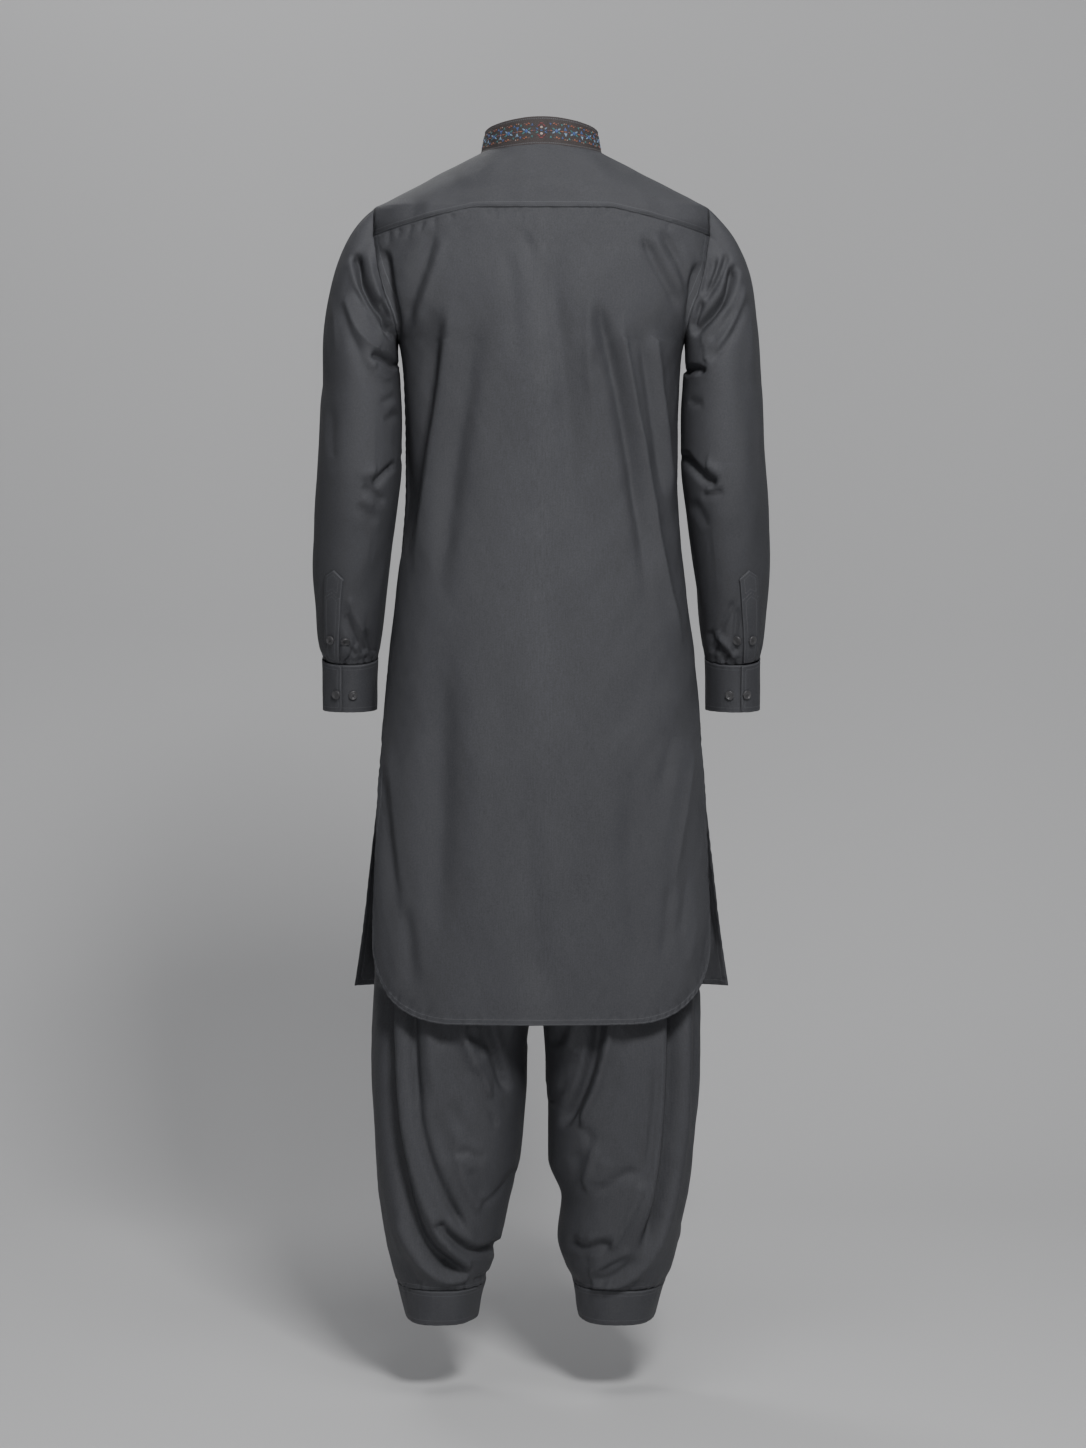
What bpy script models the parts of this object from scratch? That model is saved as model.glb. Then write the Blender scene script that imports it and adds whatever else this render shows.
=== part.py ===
"""Kurta shalwar: long collared shirt over loose gathered trousers, worn form.

Metres. The origin is the middle of the neck base. The front faces -Y, the wearer's left is +X, up is +Z.
Every cloth piece is a lofted sheet given a wall by a Solidify modifier.
"""
import bpy
import math
import numpy as np

CLOTH_THICKNESS = 0.0016
BAND_THICKNESS = 0.0018
SEAM_GAP = 0.0004

NECK_HALF_WIDTH = 0.076
NECK_BACK_DEPTH = 0.0625
NECK_FRONT_DEPTH = 0.0715
COLLAR_HEIGHT = 0.034
COLLAR_LEAN = 0.93

YOKE_FRONT_ANGLE = 115.0
ARMHOLE_TOP = -0.080
ARMHOLE_BOTTOM = -0.247
YOKE_CORNER_BACK = -0.115
YOKE_CORNER_FRONT = -0.095
SLIT_TOP = -0.730
BACK_HEM = -1.092
FRONT_HEM = -1.074
HEM_CORNER_WIDTH = 0.106
HEM_CORNER_HEIGHT = 0.107

CUFF_TOP = -0.6458
CUFF_BOTTOM = -0.7120
CUFF_EDGE_ANGLE = 76.0
CUFF_OVERLAP_ANGLE = 30.0

WAIST_TOP = -0.408
WAIST_SEAM = -0.440
CROTCH_HEIGHT = -1.000
LEG_BOTTOM = -1.4365
HEM_BAND_BOTTOM = -1.4815
LEG_SHIFT = 0.0067

# Kurta body sections. back_edge and front_edge: depth of the open edge as a share of the section's depth.
BODY_COLUMNS = ("z", "half_width", "back_depth", "front_depth", "squareness")
BODY_SECTIONS = (
    (0.0040, 0.0528, 0.0600, 0.0380, 2.10),
    (-0.0080, 0.0760, 0.0650, 0.0440, 2.10),
    (-0.0300, 0.1185, 0.0745, 0.0550, 2.20),
    (-0.0550, 0.1667, 0.0840, 0.0660, 2.30),
    (-0.0700, 0.1957, 0.0875, 0.0720, 2.35),
    (-0.0800, 0.2150, 0.0900, 0.0770, 2.40),
    (-0.0950, 0.2190, 0.0935, 0.0850, 2.40),
    (-0.1150, 0.2212, 0.0975, 0.0930, 2.40),
    (-0.1460, 0.2215, 0.1030, 0.1030, 2.40),
    (-0.1770, 0.2150, 0.1070, 0.1110, 2.45),
    (-0.2000, 0.2060, 0.1085, 0.1160, 2.50),
    (-0.2220, 0.1945, 0.1095, 0.1190, 2.50),
    (-0.2450, 0.1810, 0.1100, 0.1210, 2.55),
    (-0.2700, 0.1760, 0.1095, 0.1225, 2.60),
    (-0.3050, 0.1738, 0.1085, 0.1230, 2.60),
    (-0.3800, 0.1720, 0.1060, 0.1200, 2.60),
    (-0.4300, 0.1720, 0.1060, 0.1180, 2.60),
    (-0.5000, 0.1765, 0.1090, 0.1180, 2.60),
    (-0.5700, 0.1845, 0.1130, 0.1190, 2.60),
    (-0.6460, 0.1940, 0.1170, 0.1200, 2.60),
    (-0.7170, 0.2000, 0.1200, 0.1215, 2.60),
    (-0.7300, 0.2012, 0.1205, 0.1220, 2.60),
    (-0.8000, 0.2140, 0.1225, 0.1240, 2.60),
    (-0.9000, 0.2235, 0.1260, 0.1280, 2.60),
    (-1.0000, 0.2317, 0.1285, 0.1310, 2.60),
    (-1.1000, 0.2345, 0.1300, 0.1330, 2.60),
)
FRONT_SKIRT_COLUMNS = ("z", "half_width")
FRONT_SKIRT = (
    (-0.7300, 0.2012),
    (-0.8000, 0.2180),
    (-0.9000, 0.2443),
    (-1.0000, 0.2716),
    (-1.0750, 0.2920),
)
EDGE_COLUMNS = ("z", "back", "front")
EDGE_SHARE = (
    (-0.0800, 0.006, 0.006),
    (-0.0860, 0.200, 0.200),
    (-0.0950, 0.300, 0.320),
    (-0.1130, 0.400, 0.420),
    (-0.1460, 0.470, 0.480),
    (-0.1770, 0.490, 0.490),
    (-0.2000, 0.490, 0.480),
    (-0.2220, 0.440, 0.420),
    (-0.2360, 0.330, 0.310),
    (-0.2430, 0.190, 0.180),
    (-0.2470, 0.006, 0.006),
    (-0.7300, 0.006, 0.006),
    (-0.7380, 0.200, 0.200),
    (-0.7550, 0.330, 0.340),
    (-0.8000, 0.430, 0.450),
    (-0.9000, 0.500, 0.580),
    (-1.0000, 0.550, 0.660),
    (-1.1000, 0.570, 0.700),
)

# Sleeve axis and girth, wearer's left; the right sleeve is its mirror.
SLEEVE_COLUMNS = ("z", "x", "y", "half_width", "half_depth")
SLEEVE_SECTIONS = (
    (-0.3000, 0.2268, 0.0000, 0.0490, 0.0700),
    (-0.3350, 0.2275, 0.0015, 0.0515, 0.0700),
    (-0.3700, 0.2285, 0.0030, 0.0525, 0.0695),
    (-0.4050, 0.2300, 0.0035, 0.0535, 0.0690),
    (-0.4430, 0.2335, 0.0010, 0.0525, 0.0670),
    (-0.4800, 0.2370, -0.0050, 0.0510, 0.0640),
    (-0.5200, 0.2405, -0.0125, 0.0490, 0.0610),
    (-0.5700, 0.2430, -0.0225, 0.0455, 0.0560),
    (-0.6100, 0.2438, -0.0305, 0.0415, 0.0505),
    (-0.6300, 0.2440, -0.0345, 0.0385, 0.0460),
    (-0.6450, 0.2440, -0.0375, 0.0355, 0.0395),
    (-0.6700, 0.2443, -0.0425, 0.0347, 0.0380),
    (-0.7150, 0.2450, -0.0515, 0.0345, 0.0378),
)

# Shalwar leg: the two sides of each leg seen from behind, and its depth.
LEG_COLUMNS = ("z", "left_outer", "left_inner", "right_outer", "right_inner", "half_depth")
LEG_SECTIONS = (
    (-1.0000, 0.2050, 0.0004, 0.2050, 0.0004, 0.1010),
    (-1.0300, 0.2080, 0.0060, 0.2075, 0.0060, 0.1010),
    (-1.0700, 0.2090, 0.0098, 0.2085, 0.0098, 0.1010),
    (-1.1140, 0.2091, 0.0110, 0.2085, 0.0112, 0.1005),
    (-1.1780, 0.2088, 0.0115, 0.2070, 0.0118, 0.0995),
    (-1.2280, 0.2075, 0.0150, 0.2035, 0.0150, 0.0980),
    (-1.2790, 0.2041, 0.0200, 0.1985, 0.0150, 0.0950),
    (-1.3300, 0.1990, 0.0330, 0.1909, 0.0320, 0.0900),
    (-1.3800, 0.1914, 0.0440, 0.1820, 0.0270, 0.0830),
    (-1.4150, 0.1830, 0.0560, 0.1730, 0.0370, 0.0740),
    (-1.4365, 0.1768, 0.0640, 0.1645, 0.0460, 0.0670),
    (-1.4815, 0.1665, 0.0745, 0.1510, 0.0540, 0.0620),
)
TRUNK_COLUMNS = ("z", "half_width", "back_depth", "front_depth")
TRUNK_SECTIONS = (
    (-0.4080, 0.1480, 0.0900, 0.0960),
    (-0.4400, 0.1500, 0.0910, 0.0970),
    (-0.5000, 0.1580, 0.0945, 0.1000),
    (-0.6000, 0.1720, 0.1000, 0.1020),
    (-0.7000, 0.1830, 0.1030, 0.1030),
    (-0.8000, 0.1920, 0.1040, 0.1035),
    (-0.9000, 0.2000, 0.1030, 0.1030),
    (-1.0000, 0.2050, 0.1010, 0.1010),
)

# Folds: points across and down as seen from behind, reach to each side, push outward (minus is a trough).
BACK_FOLDS = (
    (((0.128, -0.110), (0.142, -0.150), (0.161, -0.197), (0.172, -0.240)), 0.012, -0.0040),
    (((0.124, -0.200), (0.133, -0.260), (0.143, -0.321), (0.155, -0.382), (0.163, -0.430)), 0.015, -0.0075),
    (((0.078, -0.215), (0.086, -0.259), (0.097, -0.321), (0.105, -0.382), (0.117, -0.470), (0.125, -0.570)),
     0.017, -0.0045),
    (((-0.023, -0.120), (-0.014, -0.173), (-0.023, -0.247), (-0.030, -0.345), (-0.035, -0.480)), 0.019, -0.0035),
    (((-0.067, -0.197), (-0.080, -0.259), (-0.094, -0.321), (-0.107, -0.382), (-0.119, -0.444), (-0.130, -0.530)),
     0.014, -0.0050),
    (((-0.099, -0.210), (-0.109, -0.296), (-0.122, -0.358), (-0.134, -0.419), (-0.149, -0.493), (-0.162, -0.560)),
     0.011, 0.0045),
    (((-0.122, -0.125), (-0.140, -0.154), (-0.156, -0.185), (-0.170, -0.212)), 0.011, -0.0035),
    (((0.168, -0.740), (0.166, -0.850), (0.155, -0.980)), 0.020, -0.0060),
    (((0.100, -0.620), (0.098, -0.800), (0.102, -1.020)), 0.030, -0.0060),
    (((0.020, -0.700), (0.015, -0.900), (0.010, -1.080)), 0.035, -0.0045),
    (((-0.115, -0.640), (-0.120, -0.800), (-0.112, -1.000)), 0.028, -0.0050),
    (((-0.190, -0.720), (-0.178, -0.820), (-0.166, -0.930), (-0.160, -1.000)), 0.014, 0.0060),
)
FRONT_FOLDS = (
    (((0.118, -0.135), (0.136, -0.170), (0.156, -0.215)), 0.013, -0.0040),
    (((-0.122, -0.130), (-0.138, -0.172), (-0.158, -0.220)), 0.013, -0.0040),
    (((0.100, -0.260), (0.108, -0.360), (0.120, -0.470), (0.126, -0.560)), 0.017, -0.0055),
    (((-0.092, -0.250), (-0.108, -0.350), (-0.122, -0.450), (-0.132, -0.540)), 0.017, -0.0055),
    (((0.150, -0.700), (0.160, -0.850), (0.175, -1.040)), 0.024, -0.0080),
    (((0.075, -0.560), (0.085, -0.750), (0.100, -1.050)), 0.026, -0.0070),
    (((-0.010, -0.640), (0.000, -0.820), (0.005, -1.060)), 0.026, -0.0050),
    (((-0.082, -0.580), (-0.090, -0.780), (-0.095, -1.050)), 0.026, -0.0070),
    (((-0.155, -0.700), (-0.165, -0.860), (-0.172, -1.030)), 0.024, -0.0080),
)
SLEEVE_FOLDS = (
    (((0.232, -0.130), (0.222, -0.175), (0.205, -0.212), (0.190, -0.232)), 0.011, -0.0070),
    (((0.243, -0.140), (0.235, -0.180), (0.216, -0.222), (0.196, -0.245)), 0.010, 0.0040),
    (((0.258, -0.170), (0.246, -0.215), (0.226, -0.260)), 0.013, -0.0035),
    (((0.208, -0.262), (0.188, -0.270)), 0.009, -0.0045),
    (((0.216, -0.425), (0.200, -0.408), (0.184, -0.385)), 0.011, -0.0060),
    (((0.222, -0.436), (0.206, -0.440), (0.190, -0.452)), 0.009, -0.0045),
    (((0.226, -0.416), (0.205, -0.398), (0.190, -0.370)), 0.009, 0.0040),
    (((0.272, -0.300), (0.277, -0.380), (0.278, -0.440)), 0.012, -0.0030),
    (((0.245, -0.590), (0.236, -0.620), (0.226, -0.637)), 0.009, -0.0040),
)
LEFT_LEG_FOLDS = (
    (((0.192, -1.050), (0.191, -1.115), (0.184, -1.190), (0.171, -1.260), (0.152, -1.325), (0.128, -1.375)),
     0.015, -0.0095),
    (((0.163, -1.080), (0.161, -1.140), (0.154, -1.210), (0.139, -1.275), (0.118, -1.318), (0.097, -1.348)),
     0.013, -0.0075),
    (((0.098, -1.080), (0.082, -1.130), (0.062, -1.180)), 0.014, -0.0070),
    (((0.052, -1.080), (0.038, -1.115), (0.030, -1.140)), 0.011, -0.0060),
    (((0.104, -1.240), (0.094, -1.282), (0.074, -1.312)), 0.012, -0.0060),
    (((0.129, -1.338), (0.112, -1.362), (0.082, -1.378)), 0.012, -0.0080),
    (((0.120, -1.378), (0.102, -1.396), (0.084, -1.404)), 0.009, -0.0050),
    (((0.205, -1.270), (0.190, -1.350), (0.165, -1.405), (0.130, -1.428)), 0.011, 0.0040),
)
RIGHT_LEG_FOLDS = (
    (((-0.169, -1.060), (-0.167, -1.130), (-0.160, -1.200), (-0.146, -1.270), (-0.128, -1.330), (-0.110, -1.380)),
     0.014, -0.0095),
    (((-0.070, -1.080), (-0.064, -1.130), (-0.044, -1.190), (-0.018, -1.235)), 0.015, -0.0080),
    (((-0.058, -1.235), (-0.066, -1.270), (-0.060, -1.310)), 0.012, -0.0055),
    (((-0.122, -1.268), (-0.104, -1.285), (-0.082, -1.305), (-0.060, -1.330)), 0.012, -0.0060),
    (((-0.088, -1.372), (-0.068, -1.366), (-0.044, -1.378)), 0.011, -0.0080),
    (((-0.112, -1.360), (-0.098, -1.394), (-0.062, -1.408)), 0.010, 0.0050),
    (((-0.110, -1.090), (-0.108, -1.150), (-0.116, -1.220)), 0.014, 0.0045),
    (((-0.196, -1.290), (-0.182, -1.360), (-0.158, -1.410), (-0.120, -1.428)), 0.011, 0.0040),
)

CHARCOAL = (0.067, 0.068, 0.074, 1.0)
EMBROIDERY_GROUND = (0.075, 0.060, 0.058, 1.0)
BUTTON_GREY = (0.060, 0.058, 0.060, 1.0)
BUTTON_RADIUS = 0.0058
BUTTON_THICKNESS = 0.0026

for old_object in list(bpy.data.objects):
    bpy.data.objects.remove(old_object, do_unlink=True)

garment = bpy.data.collections.new("kurta_shalwar")
bpy.context.scene.collection.children.link(garment)


def smooth_lookup(table, columns, wanted, z):
    """Read one column of a table at the heights z with a monotone cubic through its rows."""
    position = columns.index(wanted)
    heights = np.array([row[0] for row in table])[::-1]
    values = np.array([row[position] for row in table])[::-1]
    steps = np.diff(heights)
    slopes = np.diff(values) / steps
    tangents = np.zeros(len(values))
    tangents[0] = slopes[0]
    tangents[-1] = slopes[-1]
    for row in range(1, len(values) - 1):
        if slopes[row - 1] * slopes[row] > 0.0:
            before = 2.0 * steps[row] + steps[row - 1]
            after = steps[row] + 2.0 * steps[row - 1]
            tangents[row] = (before + after) / (before / slopes[row - 1] + after / slopes[row])
    z = np.clip(np.asarray(z, dtype=float), heights[0], heights[-1])
    index = np.clip(np.searchsorted(heights, z) - 1, 0, len(steps) - 1)
    width = steps[index]
    part = (z - heights[index]) / width
    low = (1.0 + 2.0 * part) * (1.0 - part) ** 2 * values[index]
    low_tangent = part * (1.0 - part) ** 2 * width * tangents[index]
    high = part ** 2 * (3.0 - 2.0 * part) * values[index + 1]
    high_tangent = part ** 2 * (part - 1.0) * width * tangents[index + 1]
    return low + low_tangent + high + high_tangent


def body_half_width(z, face):
    z = np.asarray(z, dtype=float)
    width = smooth_lookup(BODY_SECTIONS, BODY_COLUMNS, "half_width", z)
    if face == "front":
        flared = smooth_lookup(FRONT_SKIRT, FRONT_SKIRT_COLUMNS, "half_width", z)
        width = np.where(z < SLIT_TOP, flared, width)
    return width


def body_depth(z, face):
    return smooth_lookup(BODY_SECTIONS, BODY_COLUMNS, face + "_depth", z)


def body_squareness(z):
    return smooth_lookup(BODY_SECTIONS, BODY_COLUMNS, "squareness", z)


def edge_angle(z, face):
    """Angle from the middle of the face to its open edge (armhole, side seam or slit)."""
    share = smooth_lookup(EDGE_SHARE, EDGE_COLUMNS, face, z)
    return np.arccos(share ** (body_squareness(z) / 2.0))


def panel_surface(across, z, face):
    """Points of a kurta panel. across runs from -1 (wearer's right edge) to 1 (left edge)."""
    corner = YOKE_CORNER_BACK if face == "back" else YOKE_CORNER_FRONT
    level = np.minimum(z, corner)
    power = 2.0 / body_squareness(level)
    edge = edge_angle(level, face)
    x = body_half_width(level, face) * np.sign(across) * np.abs(np.sin(across * edge)) ** power
    squareness = body_squareness(z)
    filled = np.clip(np.abs(x) / body_half_width(z, face), 0.0, 1.0) ** squareness
    y = body_depth(z, face) * np.maximum(1.0 - filled, 0.0) ** (1.0 / squareness)
    if face == "front":
        y = -y
    return np.stack([x, y, z], axis=-1)


def shoulder_height(x, y):
    """Height of the shoulder surface above the plan point x, y."""
    low = np.full(np.shape(x), -0.200)
    high = np.full(np.shape(x), 0.004)
    for step in range(40):
        middle = (low + high) / 2.0
        squareness = body_squareness(middle)
        depth = np.where(y >= 0.0, body_depth(middle, "back"), body_depth(middle, "front"))
        filled = (np.abs(x) / body_half_width(middle, "back")) ** squareness
        filled = filled + (np.abs(y) / depth) ** squareness
        low = np.where(filled > 1.0, low, middle)
        high = np.where(filled > 1.0, middle, high)
    return (low + high) / 2.0


def neck_point(angle_degrees):
    """Neck seam point at an angle from the centre back, positive to the wearer's left."""
    angle = np.radians(np.asarray(angle_degrees, dtype=float))
    x = NECK_HALF_WIDTH * np.sin(angle)
    depth = np.where(np.cos(angle) >= 0.0, NECK_BACK_DEPTH, NECK_FRONT_DEPTH)
    y = depth * np.cos(angle)
    return np.stack([x, y, shoulder_height(x, y)], axis=-1)


def armhole_point(z, face):
    return panel_surface(np.ones(np.shape(z)), np.asarray(z, dtype=float), face)


def fold_push(points, folds, mirrored=False):
    """Sum of the folds' pushes at points, found from how far each point lies from each fold line."""
    across = points[..., 0]
    if mirrored:
        across = -across
    height = points[..., 2]
    total = np.zeros(across.shape)
    for line, reach, push in folds:
        lengths = [math.dist(line[n], line[n + 1]) for n in range(len(line) - 1)]
        whole = sum(lengths)
        nearest = np.full(across.shape, 1.0e6)
        along = np.zeros(across.shape)
        passed = 0.0
        for n in range(len(line) - 1):
            start_x, start_z = line[n]
            step_x = line[n + 1][0] - start_x
            step_z = line[n + 1][1] - start_z
            part = ((across - start_x) * step_x + (height - start_z) * step_z) / lengths[n] ** 2
            part = np.clip(part, 0.0, 1.0)
            far = np.hypot(across - start_x - part * step_x, height - start_z - part * step_z)
            along = np.where(far < nearest, (passed + part * lengths[n]) / whole, along)
            nearest = np.minimum(nearest, far)
            passed = passed + lengths[n]
        fade = 0.35 + 0.65 * np.sin(np.pi * np.clip(along, 0.0, 1.0)) ** 0.6
        total = total + push * fade * np.exp(-(nearest / reach) ** 2)
    return total


def grid_normals(points, closed, centre):
    """Unit normals of a grid of points, turned away from the centre points."""
    if closed:
        around = np.roll(points, -1, axis=1) - np.roll(points, 1, axis=1)
    else:
        around = np.gradient(points, axis=1)
    down = np.gradient(points, axis=0)
    normals = np.cross(around, down)
    length = np.linalg.norm(normals, axis=-1, keepdims=True)
    normals = normals / np.maximum(length, 1.0e-12)
    if np.sum(normals * (points - centre)) < 0.0:
        normals = -normals
    return normals


def new_material(name, colour, roughness):
    material = bpy.data.materials.new(name)
    material.use_nodes = True
    shader = material.node_tree.nodes["Principled BSDF"]
    shader.inputs["Base Color"].default_value = colour
    shader.inputs["Roughness"].default_value = roughness
    return material


def sheet_object(name, vertices, faces, colour, thickness, offset=-1.0, roughness=0.9):
    """A cloth piece: one open sheet with a wall of even thickness."""
    mesh = bpy.data.meshes.new(name)
    mesh.from_pydata([tuple(map(float, point)) for point in vertices], [], faces)
    mesh.update()
    piece = bpy.data.objects.new(name, mesh)
    garment.objects.link(piece)
    mesh.materials.append(new_material(name + "_cloth", colour, roughness))
    wall = piece.modifiers.new("wall", "SOLIDIFY")
    wall.thickness = thickness
    wall.offset = offset
    wall.use_rim = True
    return piece


def grid_faces(rows, columns, closed, flipped):
    """Quads of a grid of rows by columns, with numbers counted row by row."""
    faces = []
    last = columns if closed else columns - 1
    for row in range(rows - 1):
        for column in range(last):
            following = (column + 1) % columns
            quad = (row * columns + column, row * columns + following,
                    (row + 1) * columns + following, (row + 1) * columns + column)
            faces.append(quad[::-1] if flipped else quad)
    return faces


def grid_object(name, points, closed, centre, colour, thickness, offset=-1.0):
    """A sheet from a grid of points, its front side turned away from the centre points."""
    rows, columns = points.shape[:2]
    around = points[rows // 2, 1] - points[rows // 2, 0]
    down = points[rows // 2 + 1 if rows > 2 else 1, 0] - points[rows // 2 if rows > 2 else 0, 0]
    middle = np.broadcast_to(centre, points.shape)[rows // 2, 0]
    facing = np.dot(np.cross(around, down), points[rows // 2, 0] - middle)
    faces = grid_faces(rows, columns, closed, facing < 0.0)
    return sheet_object(name, points.reshape(-1, 3), faces, colour, thickness, offset)


def soft_edge(across, width):
    """One in the middle of a panel, falling to nothing at its side edges."""
    return 1.0 - np.abs(across) ** width


def front_columns(columns, level):
    """Column places of the front panel: even steps round the neckline, then out along the shoulder."""
    neck_steps = 7
    shoulder_steps = (columns - 1) // 2 - neck_steps
    neck_x = NECK_HALF_WIDTH * np.sin(np.radians(np.linspace(180.0, YOKE_FRONT_ANGLE, neck_steps + 1)))
    edge_x = panel_surface(np.ones(1), np.array([level]), "front")[0, 0]
    shoulder_x = np.linspace(neck_x[-1], edge_x, shoulder_steps + 1)[1:]
    half = np.concatenate([neck_x, shoulder_x])
    filled = (half / body_half_width(level, "front")) ** (body_squareness(level) / 2.0)
    share = np.arcsin(np.clip(filled, 0.0, 1.0)) / edge_angle(level, "front")
    share[-1] = 1.0
    return np.concatenate([-share[:0:-1], share])


def panel_grid(face, columns, levels, top_weight, bottom_weight):
    """Grid of a kurta panel between its top seam and its hem."""
    across = np.linspace(-1.0, 1.0, columns)
    across = np.sign(across) * np.abs(across) ** 0.92
    level = np.array(levels)
    if face == "front":
        across = front_columns(columns, level[0])
    top_x = panel_surface(across, np.full(columns, level[0]), face)[:, 0]
    if face == "back":
        seam = back_yoke_seam
    else:
        seam = front_top_line
    top_z = np.interp(top_x, seam[:, 0], seam[:, 1])
    bottom_z = np.full(columns, level[-1])
    if face == "back":
        edge_x = abs(panel_surface(np.ones(1), np.array([-1.0]), face)[0, 0])
        hem_x = np.abs(panel_surface(across, np.full(columns, level[-1]), face)[:, 0])
        part = np.clip((hem_x - edge_x + HEM_CORNER_WIDTH) / HEM_CORNER_WIDTH, 0.0, 1.0)
        bottom_z = level[-1] + HEM_CORNER_HEIGHT * (1.0 - (1.0 - part ** 2.5) ** 0.4)
    z = level[:, None] + np.array(top_weight)[:, None] * (top_z - level[0])[None, :]
    z = z + np.array(bottom_weight)[:, None] * (bottom_z - level[-1])[None, :]
    flat = panel_surface(np.broadcast_to(across, z.shape), z, face)
    return across, flat


def yoke_outline(columns_back, columns_side):
    """Outer edge of the yoke's left half in plan: back seam, then over the shoulder to the front corner."""
    part = np.linspace(0.0, 1.0, columns_back + 1)
    corner = armhole_point(YOKE_CORNER_BACK, "back")
    x = part * corner[0]
    z = np.interp(x, YOKE_SEAM_X, YOKE_SEAM_Z)
    squareness = body_squareness(z)
    filled = (x / body_half_width(z, "back")) ** squareness
    y = body_depth(z, "back") * (1.0 - filled) ** (1.0 / squareness)
    back = np.stack([x, y, z], axis=-1)
    half = columns_side // 2
    rise = np.sin(np.linspace(0.0, math.pi / 2.0, half + 1))[1:]
    up = armhole_point(YOKE_CORNER_BACK + (ARMHOLE_TOP - YOKE_CORNER_BACK) * rise, "back")
    fall = np.cos(np.linspace(0.0, math.pi / 2.0, columns_side - half + 1))[1:]
    down = armhole_point(YOKE_CORNER_FRONT + (ARMHOLE_TOP - YOKE_CORNER_FRONT) * fall, "front")
    return np.concatenate([back, up, down])


YOKE_SEAM_X = (0.000, 0.087, 0.128, 0.170, 0.212)
YOKE_SEAM_Z = (-0.083, -0.083, -0.092, -0.103, -0.115)
YOKE_COLUMNS_BACK = 9
YOKE_COLUMNS_SIDE = 5
YOKE_ROWS = 6

half_outline = yoke_outline(YOKE_COLUMNS_BACK, YOKE_COLUMNS_SIDE)
half_angles = np.concatenate([
    np.linspace(0.0, 78.0, YOKE_COLUMNS_BACK + 1),
    np.linspace(78.0, YOKE_FRONT_ANGLE, YOKE_COLUMNS_SIDE + 1)[1:],
])
half_neck = neck_point(half_angles)
seam_part = np.linspace(0.0, 1.0, 24)[:, None]
front_seam_plan = half_neck[-1] * (1.0 - seam_part) + half_outline[-1] * seam_part
front_seam_z = shoulder_height(front_seam_plan[:, 0], front_seam_plan[:, 1])
neck_sweep = neck_point(np.linspace(180.0, YOKE_FRONT_ANGLE, 30)[:-1])
right_half = np.concatenate([
    np.stack([neck_sweep[:, 0], neck_sweep[:, 2]], axis=-1),
    np.stack([front_seam_plan[:, 0], front_seam_z], axis=-1),
])
front_top_line = np.concatenate([right_half[:0:-1] * np.array([-1.0, 1.0]), right_half])
back_yoke_seam = np.array([(-x, z) for x, z in zip(YOKE_SEAM_X[:0:-1], YOKE_SEAM_Z[:0:-1])]
                          + list(zip(YOKE_SEAM_X, YOKE_SEAM_Z)))

# Kurta back panel.
BACK_LEVELS = (-0.1150, -0.1460, -0.1770, -0.2080, -0.2360, -0.2500, -0.3050, -0.3800, -0.4600, -0.5600, -0.6500,
               -0.7250, -0.7380, -0.8000, -0.8800, -0.9600, -1.0300, BACK_HEM)
BACK_TOP_WEIGHT = (1.0, 0.70, 0.42, 0.20, 0.06) + (0.0,) * 13
BACK_BOTTOM_WEIGHT = (0.0,) * 13 + (0.06, 0.20, 0.42, 0.70, 1.0)
across_back, back_flat = panel_grid("back", 31, BACK_LEVELS, BACK_TOP_WEIGHT, BACK_BOTTOM_WEIGHT)
back_flat[0, :, 2] -= 2.0 * SEAM_GAP
axis_line = back_flat * np.array([0.0, 0.0, 1.0])
rows_from_top = np.linspace(0.0, 1.0, len(BACK_LEVELS))
back_fade = soft_edge(across_back, 10)[None, :] * np.clip(rows_from_top * 12.0, 0.0, 1.0)[:, None]
back_shift = fold_push(back_flat, BACK_FOLDS) * back_fade
back_normals = grid_normals(back_flat, False, axis_line)
back_points = back_flat + back_normals * back_shift[..., None]
grid_object("kurta_back", back_points, False, axis_line, CHARCOAL, CLOTH_THICKNESS)

# Kurta front panel.
FRONT_LEVELS = (-0.0950, -0.1130, -0.1400, -0.1700, -0.2000, -0.2300, -0.2500, -0.3050, -0.3800, -0.4700, -0.5700,
                -0.6600, -0.7250, -0.7380, -0.8000, -0.8900, -0.9800, FRONT_HEM)
FRONT_TOP_WEIGHT = (1.0, 0.86, 0.62, 0.40, 0.20, 0.05) + (0.0,) * 12
FRONT_BOTTOM_WEIGHT = (0.0,) * 18
across_front, front_flat = panel_grid("front", 25, FRONT_LEVELS, FRONT_TOP_WEIGHT, FRONT_BOTTOM_WEIGHT)
front_flat[0, :, 2] -= 3.0 * SEAM_GAP
front_axis = front_flat * np.array([0.0, 0.0, 1.0])
front_fade = soft_edge(across_front, 10)[None, :] * np.clip(np.linspace(0.0, 12.0, 18), 0.0, 1.0)[:, None]
front_shift = fold_push(front_flat, FRONT_FOLDS) * front_fade
front_normals = grid_normals(front_flat, False, front_axis)
front_points = front_flat + front_normals * front_shift[..., None]
grid_object("kurta_front", front_points, False, front_axis, CHARCOAL, CLOTH_THICKNESS)

# Yoke: plan points between the neck seam and the outer edge, laid on the shoulder surface.
yoke_rows = []
for part in np.linspace(0.0, 1.0, YOKE_ROWS):
    plan = half_neck * (1.0 - part) + half_outline * part
    height = shoulder_height(plan[:, 0], plan[:, 1])
    if part == 1.0:
        height = half_outline[:, 2]
    left = np.stack([plan[:, 0], plan[:, 1], height], axis=-1)
    yoke_rows.append(np.concatenate([left[:0:-1] * np.array([-1.0, 1.0, 1.0]), left]))
yoke_points = np.array(yoke_rows)
yoke_centre = yoke_points * np.array([0.6, 0.0, 0.0]) + np.array([0.0, 0.0, -0.20])
grid_object("kurta_yoke", yoke_points, False, yoke_centre, CHARCOAL, CLOTH_THICKNESS)

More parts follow.
